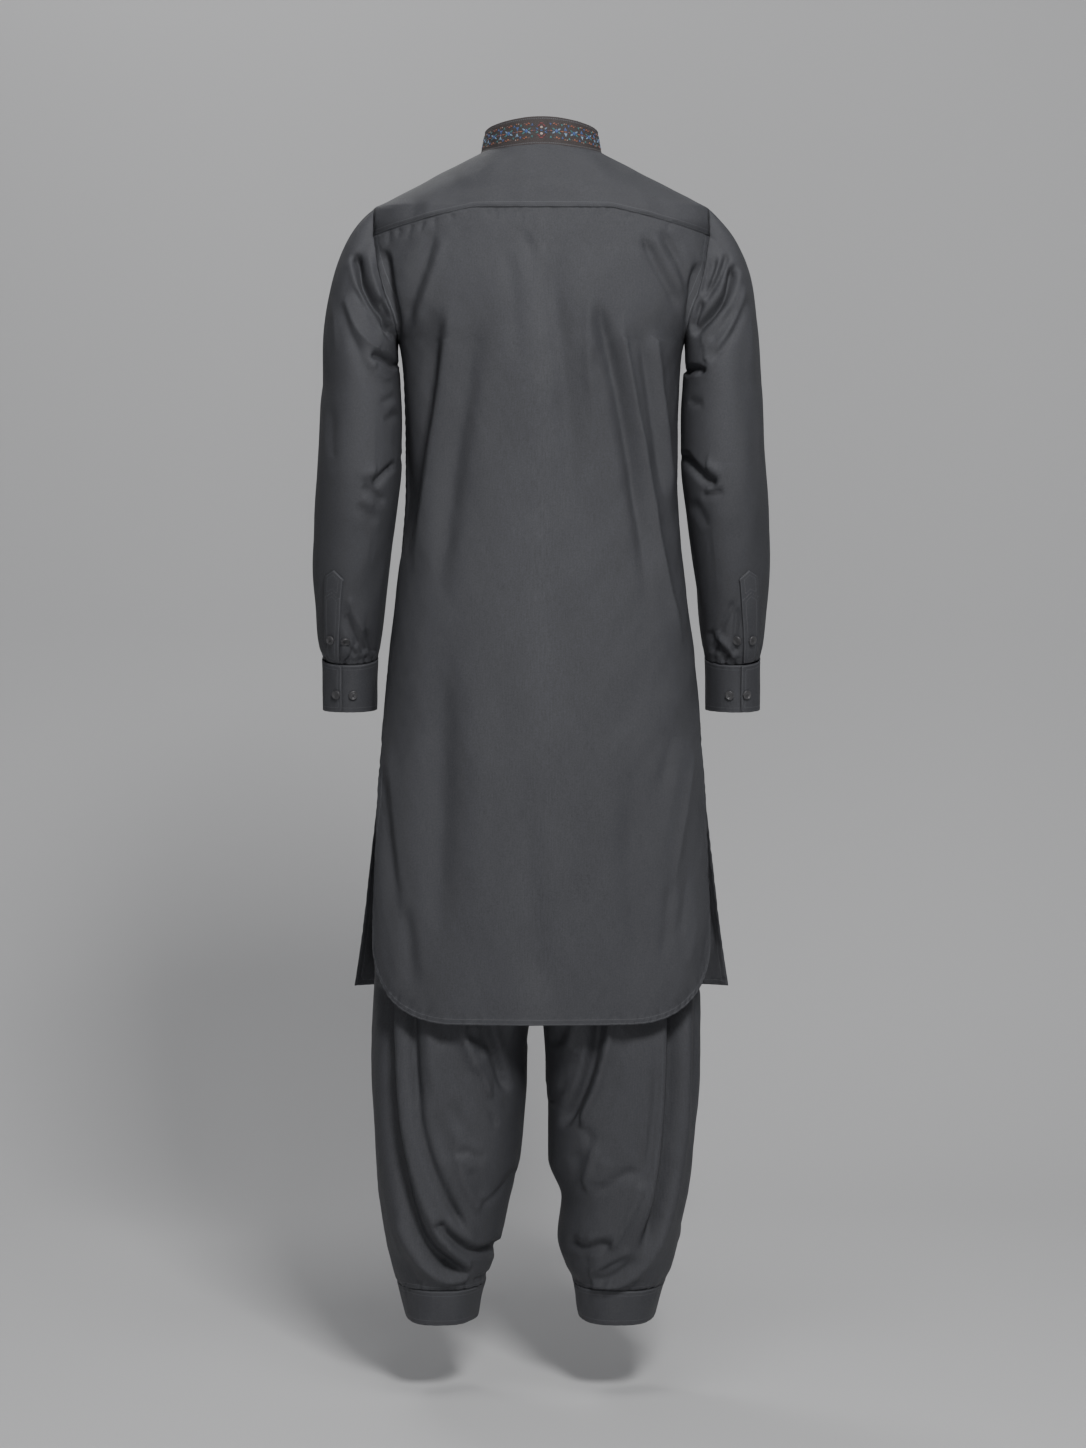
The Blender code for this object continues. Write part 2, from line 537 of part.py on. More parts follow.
# Collar band round the neck, open at the centre front.
collar_angles = np.linspace(-177.6, 177.6, 33)
collar_base = neck_point(collar_angles)
front_part = np.clip(-collar_base[:, 1] / NECK_FRONT_DEPTH, 0.0, 1.0)
side_part = np.abs(np.sin(np.radians(collar_angles)))
collar_lift = COLLAR_HEIGHT - 0.006 * side_part ** 4
collar_rows = []
for part in (0.0, 0.5, 1.0):
    scale = 1.0 - (1.0 - COLLAR_LEAN) * part
    row = collar_base * np.array([scale, scale, 1.0])
    row[:, 2] = row[:, 2] + 1.2 * SEAM_GAP + collar_lift * part
    row[:, 1] = row[:, 1] - 0.004 * part * side_part
    collar_rows.append(row)
collar_points = np.array(collar_rows)
collar_points[0, :, :2] *= 0.990
collar_points[2, 0, 2] -= 0.006
collar_points[2, -1, 2] -= 0.006
collar_centre = collar_points * np.array([0.0, 0.0, 1.0])
grid_object("collar_band", collar_points, False, collar_centre, EMBROIDERY_GROUND, BAND_THICKNESS)

# Front placket strip and its buttons, laid on the front panel.
PLACKET_HALF_WIDTH = 0.017
PLACKET_LIFT = 0.0026
placket_rows = []
for share in (0.15, 1.0, 2.0, 3.0, 4.0, 5.0, 6.0, 7.0, 8.0, 8.25):
    row = min(int(share), len(front_points) - 2)
    part = share - row
    line = front_points[row] * (1.0 - part) + front_points[row + 1] * part
    facing = front_normals[row] * (1.0 - part) + front_normals[row + 1] * part
    line = line + facing * PLACKET_LIFT
    strip_x = np.array((-PLACKET_HALF_WIDTH, 0.0, PLACKET_HALF_WIDTH))
    strip_y = np.interp(strip_x, line[:, 0], line[:, 1])
    strip_z = np.interp(strip_x, line[:, 0], line[:, 2])
    placket_rows.append(np.stack([strip_x, strip_y, strip_z], axis=-1))
placket_points = np.array(placket_rows)
placket_points[-1, 1, 2] -= 0.010
placket_centre = placket_points * np.array([0.0, 0.0, 1.0])
grid_object("front_placket", placket_points, False, placket_centre, CHARCOAL, CLOTH_THICKNESS)


def button(name, position, outward):
    """A turned button with a rim, its back at the position and its face outward."""
    profile = ((0.0, BUTTON_THICKNESS * 0.62), (BUTTON_RADIUS * 0.62, BUTTON_THICKNESS * 0.62),
               (BUTTON_RADIUS * 0.80, BUTTON_THICKNESS), (BUTTON_RADIUS, BUTTON_THICKNESS * 0.55),
               (BUTTON_RADIUS * 0.80, 0.0), (0.0, 0.0))
    mesh = bpy.data.meshes.new(name)
    edges = [(n, n + 1) for n in range(len(profile) - 1)]
    mesh.from_pydata([(radius, 0.0, height) for radius, height in profile], edges, [])
    turned = bpy.data.objects.new(name, mesh)
    garment.objects.link(turned)
    mesh.materials.append(new_material(name + "_finish", BUTTON_GREY, 0.35))
    screw = turned.modifiers.new("turn", "SCREW")
    screw.axis = "Z"
    screw.steps = 10
    screw.render_steps = 10
    screw.use_merge_vertices = True
    screw.merge_threshold = 0.00005
    outward = np.array(outward, dtype=float)
    outward = outward / np.linalg.norm(outward)
    tilt = math.acos(max(-1.0, min(1.0, outward[2])))
    turn = math.atan2(outward[1], outward[0])
    turned.rotation_euler = (0.0, tilt, turn)
    turned.location = tuple(float(value) for value in position)
    return turned


FRONT_BUTTON_HEIGHTS = (-0.100, -0.185, -0.270, -0.355)
for number, height in enumerate(FRONT_BUTTON_HEIGHTS):
    above, depth, below = np.interp((height + 0.006, height, height - 0.006), placket_points[::-1, 1, 2],
                                    placket_points[::-1, 1, 1])
    outward = np.array((0.0, -1.0, (below - above) / -0.012))
    outward = outward / np.linalg.norm(outward)
    button("front_button_" + str(number + 1), np.array((0.0, depth, height)) + outward * 0.0009, outward)


# Sleeves, cuffs and their plackets.
SLEEVE_AROUND = 22
SLEEVE_TOP_STEPS = 6
SLEEVE_LEVELS = (-0.3000, -0.3400, -0.3750, -0.4000, -0.4200, -0.4400, -0.4650, -0.5100, -0.5600, -0.6000, -0.6230,
                 -0.6380, -0.6450)


def sleeve_ring(z, angles, extra=0.0):
    """Ring of a sleeve square to the arm: 0 outer, 90 back, 180 inner, 270 front."""
    x = float(smooth_lookup(SLEEVE_SECTIONS, SLEEVE_COLUMNS, "x", z))
    y = float(smooth_lookup(SLEEVE_SECTIONS, SLEEVE_COLUMNS, "y", z))
    ahead_x = float(smooth_lookup(SLEEVE_SECTIONS, SLEEVE_COLUMNS, "x", z - 0.01)) - x
    ahead_y = float(smooth_lookup(SLEEVE_SECTIONS, SLEEVE_COLUMNS, "y", z - 0.01)) - y
    half_width = float(smooth_lookup(SLEEVE_SECTIONS, SLEEVE_COLUMNS, "half_width", z)) + extra
    half_depth = float(smooth_lookup(SLEEVE_SECTIONS, SLEEVE_COLUMNS, "half_depth", z)) + extra
    aim = np.array([ahead_x, ahead_y, -0.01])
    aim = aim / np.linalg.norm(aim)
    side = np.array([1.0, 0.0, 0.0]) - aim[0] * aim
    side = side / np.linalg.norm(side)
    back = np.cross(side, aim)
    if back[1] < 0.0:
        back = -back
    angles = np.radians(angles)
    across = half_width * np.cos(angles)
    deep = half_depth * np.sin(angles)
    return np.array([x, y, z]) + across[:, None] * side + deep[:, None] * back


def sleeve_grid():
    """Left sleeve: fan from the armhole to the upper arm, then rings down the arm."""
    angles = np.arange(SLEEVE_AROUND) * 360.0 / SLEEVE_AROUND
    turn = np.radians(angles)
    middle = (ARMHOLE_TOP + ARMHOLE_BOTTOM) / 2.0
    half = (ARMHOLE_TOP - ARMHOLE_BOTTOM) / 2.0
    heights = middle + half * np.cos(turn)
    back = armhole_point(heights, "back")
    front = armhole_point(heights, "front")
    hole = np.where((turn <= math.pi)[:, None], back, front)
    first = sleeve_ring(SLEEVE_LEVELS[0], angles)
    high = (np.cos(turn) + 1.0) / 2.0
    leave = np.stack([0.10 + 0.75 * high ** 0.8, 0.55 * np.sin(turn) * high, -1.0 + 0.35 * high], axis=-1)
    leave = leave / np.linalg.norm(leave, axis=-1, keepdims=True)
    start = hole + leave * np.array([0.0013, 0.0013, 0.0013])
    start[:, 0] = start[:, 0] + 0.0008
    reach = np.linalg.norm(first - start, axis=-1, keepdims=True)
    rows = []
    for part in np.linspace(0.0, 1.0, SLEEVE_TOP_STEPS + 1)[:-1]:
        row = (2 * part ** 3 - 3 * part ** 2 + 1) * start
        row = row + (part ** 3 - 2 * part ** 2 + part) * leave * reach
        row = row + (3 * part ** 2 - 2 * part ** 3) * first
        row = row + (part ** 3 - part ** 2) * np.array([0.0, 0.0, -1.0]) * reach
        rows.append(row)
    for level in SLEEVE_LEVELS:
        rows.append(sleeve_ring(level, angles))
    return np.array(rows)


sleeve_flat = sleeve_grid()
sleeve_centres = np.broadcast_to(sleeve_flat.mean(axis=1, keepdims=True), sleeve_flat.shape)
sleeve_normals = grid_normals(sleeve_flat, True, sleeve_centres)
row_share = np.linspace(0.0, 1.0, sleeve_flat.shape[0])
sleeve_fade = np.clip(row_share * 10.0, 0.0, 1.0) * np.clip((1.0 - row_share) * 12.0, 0.0, 1.0)
sleeve_shift = fold_push(sleeve_flat, SLEEVE_FOLDS) * sleeve_fade[:, None]
inner_side = sleeve_normals[..., 0] < -0.55
sleeve_shift = np.where(inner_side, np.minimum(sleeve_shift, 0.0), sleeve_shift)
sleeve_points = sleeve_flat + sleeve_normals * sleeve_shift[..., None]


for side_name, mirror in (("left", 1.0), ("right", -1.0)):
    flip = np.array([mirror, 1.0, 1.0])
    grid_object("sleeve_" + side_name, sleeve_points * flip, True, sleeve_centres * flip, CHARCOAL, CLOTH_THICKNESS)
    # The cuff laps over itself at the back: the upper end lies on the under end.
    sweep = np.linspace(CUFF_EDGE_ANGLE, CUFF_EDGE_ANGLE - 360.0 - CUFF_OVERLAP_ANGLE, 29)
    cuff_rows = []
    for level in (CUFF_TOP, (CUFF_TOP + CUFF_BOTTOM) / 2.0, CUFF_BOTTOM):
        row = []
        for angle in sweep:
            turned = CUFF_EDGE_ANGLE - angle
            lift = 0.0026 * min(1.0, max(0.0, 1.0 - (turned - CUFF_OVERLAP_ANGLE - 12.0) / 50.0))
            ring_z = level
            if level == CUFF_BOTTOM and turned < 16.0:
                ring_z = level + 0.009 * (1.0 - turned / 16.0) ** 2
            row.append(sleeve_ring(ring_z, np.array([angle]), lift)[0])
        cuff_rows.append(row)
    cuff_points = np.array(cuff_rows)
    cuff_centre = np.array([sleeve_ring(level, np.array([0.0, 180.0])).mean(axis=0)
                            for level in (CUFF_TOP, (CUFF_TOP + CUFF_BOTTOM) / 2.0, CUFF_BOTTOM)])
    cuff_centre = np.broadcast_to(cuff_centre[:, None, :], cuff_points.shape)
    grid_object("cuff_" + side_name, cuff_points * flip, False, cuff_centre * flip, CHARCOAL, BAND_THICKNESS)
    # The pointed placket above the cuff lies on the back of the sleeve.
    strip_rows = []
    for level in np.linspace(-0.522, -0.643, 9):
        down = (level + 0.522) / -0.121
        strip_rows.append(sleeve_ring(level, np.array([52.0, 67.5, 83.0]) - 10.5 * down, 0.0026))
    strip_points = np.array(strip_rows)
    strip_points[0, 0, 2] -= 0.010
    strip_points[0, 2, 2] -= 0.010
    strip_centre = np.array([sleeve_ring(level, np.array([0.0, 180.0])).mean(axis=0)
                             for level in np.linspace(-0.522, -0.643, 9)])
    strip_centre = np.broadcast_to(strip_centre[:, None, :], strip_points.shape)
    grid_object("sleeve_placket_" + side_name, strip_points * flip, False, strip_centre * flip, CHARCOAL,
                CLOTH_THICKNESS)
    spots = (("cuff_button_upper_", -0.685, 64.0, 0.0032), ("cuff_button_under_", -0.685, 98.0, 0.0007),
             ("placket_button_upper_", -0.612, 60.0, 0.0034), ("placket_button_under_", -0.612, 85.0, 0.0003))
    for spot_name, level, angle, lift in spots:
        place = sleeve_ring(level, np.array([angle]), lift)[0]
        middle = sleeve_ring(level, np.array([0.0, 180.0])).mean(axis=0)
        beside = sleeve_ring(level, np.array([angle - 2.0, angle + 2.0]), lift)
        along_ring = beside[1] - beside[0]
        down_arm = sleeve_ring(level - 0.01, np.array([angle]), lift)[0] - place
        outward = np.cross(along_ring, down_arm)
        if np.dot(outward, place - middle) < 0.0:
            outward = -outward
        button(spot_name + side_name, place * flip, outward * flip)


# Shalwar legs.
LEG_OUTER_COLUMNS = 24
LEG_INNER_COLUMNS = 7
TRUNK_LEVELS = (WAIST_SEAM - SEAM_GAP, -0.5000, -0.5800, -0.6700, -0.7600, -0.8500, -0.9300)
LOWER_LEVELS = (CROTCH_HEIGHT, -1.0200, -1.0550, -1.0950, -1.1350, -1.1750, -1.2150, -1.2500, -1.2850, -1.3150,
                -1.3450, -1.3700, -1.3950, -1.4180, LEG_BOTTOM + SEAM_GAP)


def trunk_shift(z):
    return LEG_SHIFT * min(1.0, max(0.0, (WAIST_SEAM - z) / 0.45))


def leg_ring(side_name, z, whole):
    """Section of a leg: columns from the front centre round the outer side to the back centre, then inside."""
    depth_back = float(smooth_lookup(TRUNK_SECTIONS, TRUNK_COLUMNS, "back_depth", z))
    depth_front = float(smooth_lookup(TRUNK_SECTIONS, TRUNK_COLUMNS, "front_depth", z))
    half_width = float(smooth_lookup(TRUNK_SECTIONS, TRUNK_COLUMNS, "half_width", z))
    turn = np.linspace(0.0, math.pi, LEG_OUTER_COLUMNS + 1)
    reach = np.abs(np.sin(turn)) ** (2.0 / 2.4)
    deep = np.sign(-np.cos(turn)) * np.abs(np.cos(turn)) ** (2.0 / 2.4)
    x = np.maximum(half_width * reach, SEAM_GAP)
    y = np.where(deep > 0.0, depth_back * deep, depth_front * deep)
    trunk = np.stack([x, y], axis=-1)
    if not whole:
        return np.concatenate([trunk, np.full((LEG_OUTER_COLUMNS + 1, 1), z)], axis=1)
    inner_part = np.linspace(1.0, -1.0, LEG_INNER_COLUMNS + 1)[1:-1]
    inner_line = np.stack([np.full(len(inner_part), SEAM_GAP),
                           np.where(inner_part > 0.0, depth_back, depth_front) * inner_part], axis=-1)
    trunk = np.concatenate([trunk, inner_line])
    outer = float(smooth_lookup(LEG_SECTIONS, LEG_COLUMNS, side_name + "_outer", z))
    inner = float(smooth_lookup(LEG_SECTIONS, LEG_COLUMNS, side_name + "_inner", z))
    half_depth = float(smooth_lookup(LEG_SECTIONS, LEG_COLUMNS, "half_depth", z))
    centre = (outer + inner) / 2.0
    wide = (outer - inner) / 2.0
    opening = 48.0
    angles = np.concatenate([np.linspace(opening, 360.0 - opening, LEG_OUTER_COLUMNS + 1),
                             np.linspace(360.0 - opening, 360.0 + opening, LEG_INNER_COLUMNS + 1)[1:-1]])
    angles = np.radians(angles)
    squared = 2.0 / 2.25
    ring_x = centre - wide * np.sign(np.cos(angles)) * np.abs(np.cos(angles)) ** squared
    ring_y = -half_depth * np.sign(np.sin(angles)) * np.abs(np.sin(angles)) ** squared
    ring = np.stack([ring_x, ring_y], axis=-1)
    blend = min(1.0, max(0.0, (CROTCH_HEIGHT - z) / 0.16))
    blend = blend * blend * (3.0 - 2.0 * blend)
    mixed = trunk * (1.0 - blend) + ring * blend
    return np.concatenate([mixed, np.full((len(mixed), 1), z)], axis=1)


def leg_object(side_name, mirror, folds):
    """One leg: an open half trunk welded to closed rings below the crotch."""
    flip = np.array([mirror, 1.0, 1.0])
    vertices = []
    faces = []
    trunk = np.array([leg_ring(side_name, z, False) for z in TRUNK_LEVELS]) * flip
    lower = np.array([leg_ring(side_name, z, True) for z in LOWER_LEVELS]) * flip
    wave = 0.0035 * np.cos(np.linspace(0.0, math.pi, LEG_OUTER_COLUMNS + 1) * 14.0)
    wave[0] = 0.0
    wave[-1] = 0.0
    trunk_normals = grid_normals(trunk, False, trunk * np.array([0.0, 0.0, 1.0]) + np.array([0.08 * mirror, 0, 0]))
    fall = np.array([0.0, 0.7, 1.0, 0.8, 0.55, 0.3, 0.12])
    trunk = trunk - trunk_normals * (wave[None, :] * fall[:, None] + 0.0035 * fall[:, None])[..., None]
    middle = np.broadcast_to(lower.mean(axis=1, keepdims=True), lower.shape)
    lower_normals = grid_normals(lower, True, middle)
    push = fold_push(lower, folds)
    inner = lower_normals[..., 0] * mirror < -0.5
    push = np.where(inner, np.minimum(push, 0.0), push)
    share = np.linspace(0.0, 1.0, len(LOWER_LEVELS))
    fade = np.clip(share * 5.0, 0.0, 1.0) * np.clip((1.0 - share) * 12.0, 0.0, 1.0)
    lower = lower + lower_normals * (push * fade[:, None])[..., None]
    shift_trunk = np.array([trunk_shift(z) for z in TRUNK_LEVELS])
    shift_lower = np.array([trunk_shift(z) for z in LOWER_LEVELS])
    trunk[..., 0] += shift_trunk[:, None]
    lower[..., 0] += shift_lower[:, None]
    open_columns = LEG_OUTER_COLUMNS + 1
    ring_columns = LEG_OUTER_COLUMNS + LEG_INNER_COLUMNS
    vertices.extend(trunk.reshape(-1, 3))
    vertices.extend(lower.reshape(-1, 3))
    base = len(TRUNK_LEVELS) * open_columns
    faces.extend(grid_faces(len(TRUNK_LEVELS), open_columns, False, False))
    last = (len(TRUNK_LEVELS) - 1) * open_columns
    for column in range(LEG_OUTER_COLUMNS):
        faces.append((last + column, last + column + 1, base + column + 1, base + column))
    for face in grid_faces(len(LOWER_LEVELS), ring_columns, True, False):
        faces.append(tuple(base + number for number in face))
    first = faces[LEG_OUTER_COLUMNS // 2]
    corner = [np.array(vertices[number]) for number in first]
    facing = np.cross(corner[1] - corner[0], corner[3] - corner[0])
    if facing[0] * mirror < 0.0:
        faces = [face[::-1] for face in faces]
    sheet_object("shalwar_leg_" + side_name, vertices, faces, CHARCOAL, CLOTH_THICKNESS)
    band = np.array([leg_ring(side_name, z, True) for z in
                     (LEG_BOTTOM - SEAM_GAP, (LEG_BOTTOM + HEM_BAND_BOTTOM) / 2.0, HEM_BAND_BOTTOM)]) * flip
    band[..., 0] += LEG_SHIFT
    band_middle = np.broadcast_to(band.mean(axis=1, keepdims=True), band.shape)
    grid_object("hem_band_" + side_name, band, True, band_middle, CHARCOAL, BAND_THICKNESS)


leg_object("left", 1.0, LEFT_LEG_FOLDS)
leg_object("right", -1.0, RIGHT_LEG_FOLDS)

# Waistband, hidden under the kurta.
band_turn = np.linspace(0.0, 2.0 * math.pi, 33)[:-1]
band_rows = []
for level in (WAIST_TOP, WAIST_SEAM + SEAM_GAP):
    wide = float(smooth_lookup(TRUNK_SECTIONS, TRUNK_COLUMNS, "half_width", level))
    back = float(smooth_lookup(TRUNK_SECTIONS, TRUNK_COLUMNS, "back_depth", level))
    front = float(smooth_lookup(TRUNK_SECTIONS, TRUNK_COLUMNS, "front_depth", level))
    x = wide * np.sign(np.sin(band_turn)) * np.abs(np.sin(band_turn)) ** (2.0 / 2.4)
    deep = np.sign(np.cos(band_turn)) * np.abs(np.cos(band_turn)) ** (2.0 / 2.4)
    y = np.where(deep > 0.0, back * deep, front * deep)
    band_rows.append(np.stack([x, y, np.full(len(x), level)], axis=-1))
waist_points = np.array(band_rows)
waist_centre = waist_points * np.array([0.0, 0.0, 1.0])
grid_object("shalwar_waistband", waist_points, True, waist_centre, CHARCOAL, BAND_THICKNESS)
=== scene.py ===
"""Kurta shalwar, dressed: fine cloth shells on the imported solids, stitching, collar embroidery and buttons.

Metres. The front faces -Y, the wearer's left is +X. The picture looks at the back.
"""
import math
import bmesh
import bpy
import numpy as np
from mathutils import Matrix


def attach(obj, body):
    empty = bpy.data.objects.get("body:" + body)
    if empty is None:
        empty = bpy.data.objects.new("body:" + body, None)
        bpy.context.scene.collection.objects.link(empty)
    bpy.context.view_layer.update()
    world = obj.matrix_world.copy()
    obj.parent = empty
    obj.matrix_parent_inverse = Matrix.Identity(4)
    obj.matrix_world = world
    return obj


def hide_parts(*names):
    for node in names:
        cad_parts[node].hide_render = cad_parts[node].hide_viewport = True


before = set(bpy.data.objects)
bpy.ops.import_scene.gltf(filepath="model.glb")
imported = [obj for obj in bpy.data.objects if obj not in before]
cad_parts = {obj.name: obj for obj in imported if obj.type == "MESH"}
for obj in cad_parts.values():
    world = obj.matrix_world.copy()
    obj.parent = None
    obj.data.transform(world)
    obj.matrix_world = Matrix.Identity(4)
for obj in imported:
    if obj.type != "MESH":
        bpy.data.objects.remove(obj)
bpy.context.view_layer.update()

CLOTH_SHELL = 0.0008
BAND_SHELL = 0.0012
EYE_DISTANCE = 4.2
EYE_HEIGHT = -0.46

NECK_HALF_WIDTH = 0.076
NECK_BACK_DEPTH = 0.0625
NECK_FRONT_DEPTH = 0.0715
COLLAR_HEIGHT = 0.034
COLLAR_LEAN = 0.93

YOKE_FRONT_ANGLE = 115.0
ARMHOLE_TOP = -0.080
ARMHOLE_BOTTOM = -0.247
YOKE_CORNER_BACK = -0.115
YOKE_CORNER_FRONT = -0.095
SLIT_TOP = -0.730
BACK_HEM = -1.092
FRONT_HEM = -1.074
HEM_CORNER_WIDTH = 0.106
HEM_CORNER_HEIGHT = 0.107

CUFF_TOP = -0.6458
CUFF_BOTTOM = -0.7120
CUFF_EDGE_ANGLE = 76.0
CUFF_OVERLAP_ANGLE = 30.0

WAIST_TOP = -0.408
WAIST_SEAM = -0.440
CROTCH_HEIGHT = -1.000
LEG_BOTTOM = -1.4365
HEM_BAND_BOTTOM = -1.4815
LEG_SHIFT = 0.0067

# Kurta body sections. back_edge and front_edge: depth of the open edge as a share of the section's depth.
BODY_COLUMNS = ("z", "half_width", "back_depth", "front_depth", "squareness")
BODY_SECTIONS = (
    (0.0040, 0.0528, 0.0600, 0.0380, 2.10),
    (-0.0080, 0.0760, 0.0650, 0.0440, 2.10),
    (-0.0300, 0.1185, 0.0745, 0.0550, 2.20),
    (-0.0550, 0.1667, 0.0840, 0.0660, 2.30),
    (-0.0700, 0.1957, 0.0875, 0.0720, 2.35),
    (-0.0800, 0.2150, 0.0900, 0.0770, 2.40),
    (-0.0950, 0.2190, 0.0935, 0.0850, 2.40),
    (-0.1150, 0.2212, 0.0975, 0.0930, 2.40),
    (-0.1460, 0.2215, 0.1030, 0.1030, 2.40),
    (-0.1770, 0.2150, 0.1070, 0.1110, 2.45),
    (-0.2000, 0.2060, 0.1085, 0.1160, 2.50),
    (-0.2220, 0.1945, 0.1095, 0.1190, 2.50),
    (-0.2450, 0.1810, 0.1100, 0.1210, 2.55),
    (-0.2700, 0.1760, 0.1095, 0.1225, 2.60),
    (-0.3050, 0.1738, 0.1085, 0.1230, 2.60),
    (-0.3800, 0.1720, 0.1060, 0.1200, 2.60),
    (-0.4300, 0.1720, 0.1060, 0.1180, 2.60),
    (-0.5000, 0.1765, 0.1090, 0.1180, 2.60),
    (-0.5700, 0.1845, 0.1130, 0.1190, 2.60),
    (-0.6460, 0.1940, 0.1170, 0.1200, 2.60),
    (-0.7170, 0.2000, 0.1200, 0.1215, 2.60),
    (-0.7300, 0.2012, 0.1205, 0.1220, 2.60),
    (-0.8000, 0.2140, 0.1225, 0.1240, 2.60),
    (-0.9000, 0.2235, 0.1260, 0.1280, 2.60),
    (-1.0000, 0.2317, 0.1285, 0.1310, 2.60),
    (-1.1000, 0.2345, 0.1300, 0.1330, 2.60),
)
FRONT_SKIRT_COLUMNS = ("z", "half_width")
FRONT_SKIRT = (
    (-0.7300, 0.2012),
    (-0.8000, 0.2180),
    (-0.9000, 0.2443),
    (-1.0000, 0.2716),
    (-1.0750, 0.2920),
)
EDGE_COLUMNS = ("z", "back", "front")
EDGE_SHARE = (
    (-0.0800, 0.006, 0.006),
    (-0.0860, 0.200, 0.200),
    (-0.0950, 0.300, 0.320),
    (-0.1130, 0.400, 0.420),
    (-0.1460, 0.470, 0.480),
    (-0.1770, 0.490, 0.490),
    (-0.2000, 0.490, 0.480),
    (-0.2220, 0.440, 0.420),
    (-0.2360, 0.330, 0.310),
    (-0.2430, 0.190, 0.180),
    (-0.2470, 0.006, 0.006),
    (-0.7300, 0.006, 0.006),
    (-0.7380, 0.200, 0.200),
    (-0.7550, 0.330, 0.340),
    (-0.8000, 0.430, 0.450),
    (-0.9000, 0.500, 0.580),
    (-1.0000, 0.550, 0.660),
    (-1.1000, 0.570, 0.700),
)

# Sleeve axis and girth, wearer's left; the right sleeve is its mirror.
SLEEVE_COLUMNS = ("z", "x", "y", "half_width", "half_depth")
SLEEVE_SECTIONS = (
    (-0.3000, 0.2268, 0.0000, 0.0490, 0.0700),
    (-0.3350, 0.2275, 0.0015, 0.0515, 0.0700),
    (-0.3700, 0.2285, 0.0030, 0.0525, 0.0695),
    (-0.4050, 0.2300, 0.0035, 0.0535, 0.0690),
    (-0.4430, 0.2335, 0.0010, 0.0525, 0.0670),
    (-0.4800, 0.2370, -0.0050, 0.0510, 0.0640),
    (-0.5200, 0.2405, -0.0125, 0.0490, 0.0610),
    (-0.5700, 0.2430, -0.0225, 0.0455, 0.0560),
    (-0.6100, 0.2438, -0.0305, 0.0415, 0.0505),
    (-0.6300, 0.2440, -0.0345, 0.0385, 0.0460),
    (-0.6450, 0.2440, -0.0375, 0.0355, 0.0395),
    (-0.6700, 0.2443, -0.0425, 0.0347, 0.0380),
    (-0.7150, 0.2450, -0.0515, 0.0345, 0.0378),
)

# Shalwar leg: the two sides of each leg seen from behind, and its depth.
LEG_COLUMNS = ("z", "left_outer", "left_inner", "right_outer", "right_inner", "half_depth")
LEG_SECTIONS = (
    (-1.0000, 0.2050, 0.0004, 0.2050, 0.0004, 0.1010),
    (-1.0300, 0.2080, 0.0060, 0.2075, 0.0060, 0.1010),
    (-1.0700, 0.2090, 0.0098, 0.2085, 0.0098, 0.1010),
    (-1.1140, 0.2091, 0.0110, 0.2085, 0.0112, 0.1005),
    (-1.1780, 0.2088, 0.0115, 0.2070, 0.0118, 0.0995),
    (-1.2280, 0.2075, 0.0150, 0.2035, 0.0150, 0.0980),
    (-1.2790, 0.2041, 0.0200, 0.1985, 0.0150, 0.0950),
    (-1.3300, 0.1990, 0.0330, 0.1909, 0.0320, 0.0900),
    (-1.3800, 0.1914, 0.0440, 0.1820, 0.0270, 0.0830),
    (-1.4150, 0.1830, 0.0560, 0.1730, 0.0370, 0.0740),
    (-1.4365, 0.1768, 0.0640, 0.1645, 0.0460, 0.0670),
    (-1.4815, 0.1665, 0.0745, 0.1510, 0.0540, 0.0620),
)
TRUNK_COLUMNS = ("z", "half_width", "back_depth", "front_depth")
TRUNK_SECTIONS = (
    (-0.4080, 0.1480, 0.0900, 0.0960),
    (-0.4400, 0.1500, 0.0910, 0.0970),
    (-0.5000, 0.1580, 0.0945, 0.1000),
    (-0.6000, 0.1720, 0.1000, 0.1020),
    (-0.7000, 0.1830, 0.1030, 0.1030),
    (-0.8000, 0.1920, 0.1040, 0.1035),
    (-0.9000, 0.2000, 0.1030, 0.1030),
    (-1.0000, 0.2050, 0.1010, 0.1010),
)


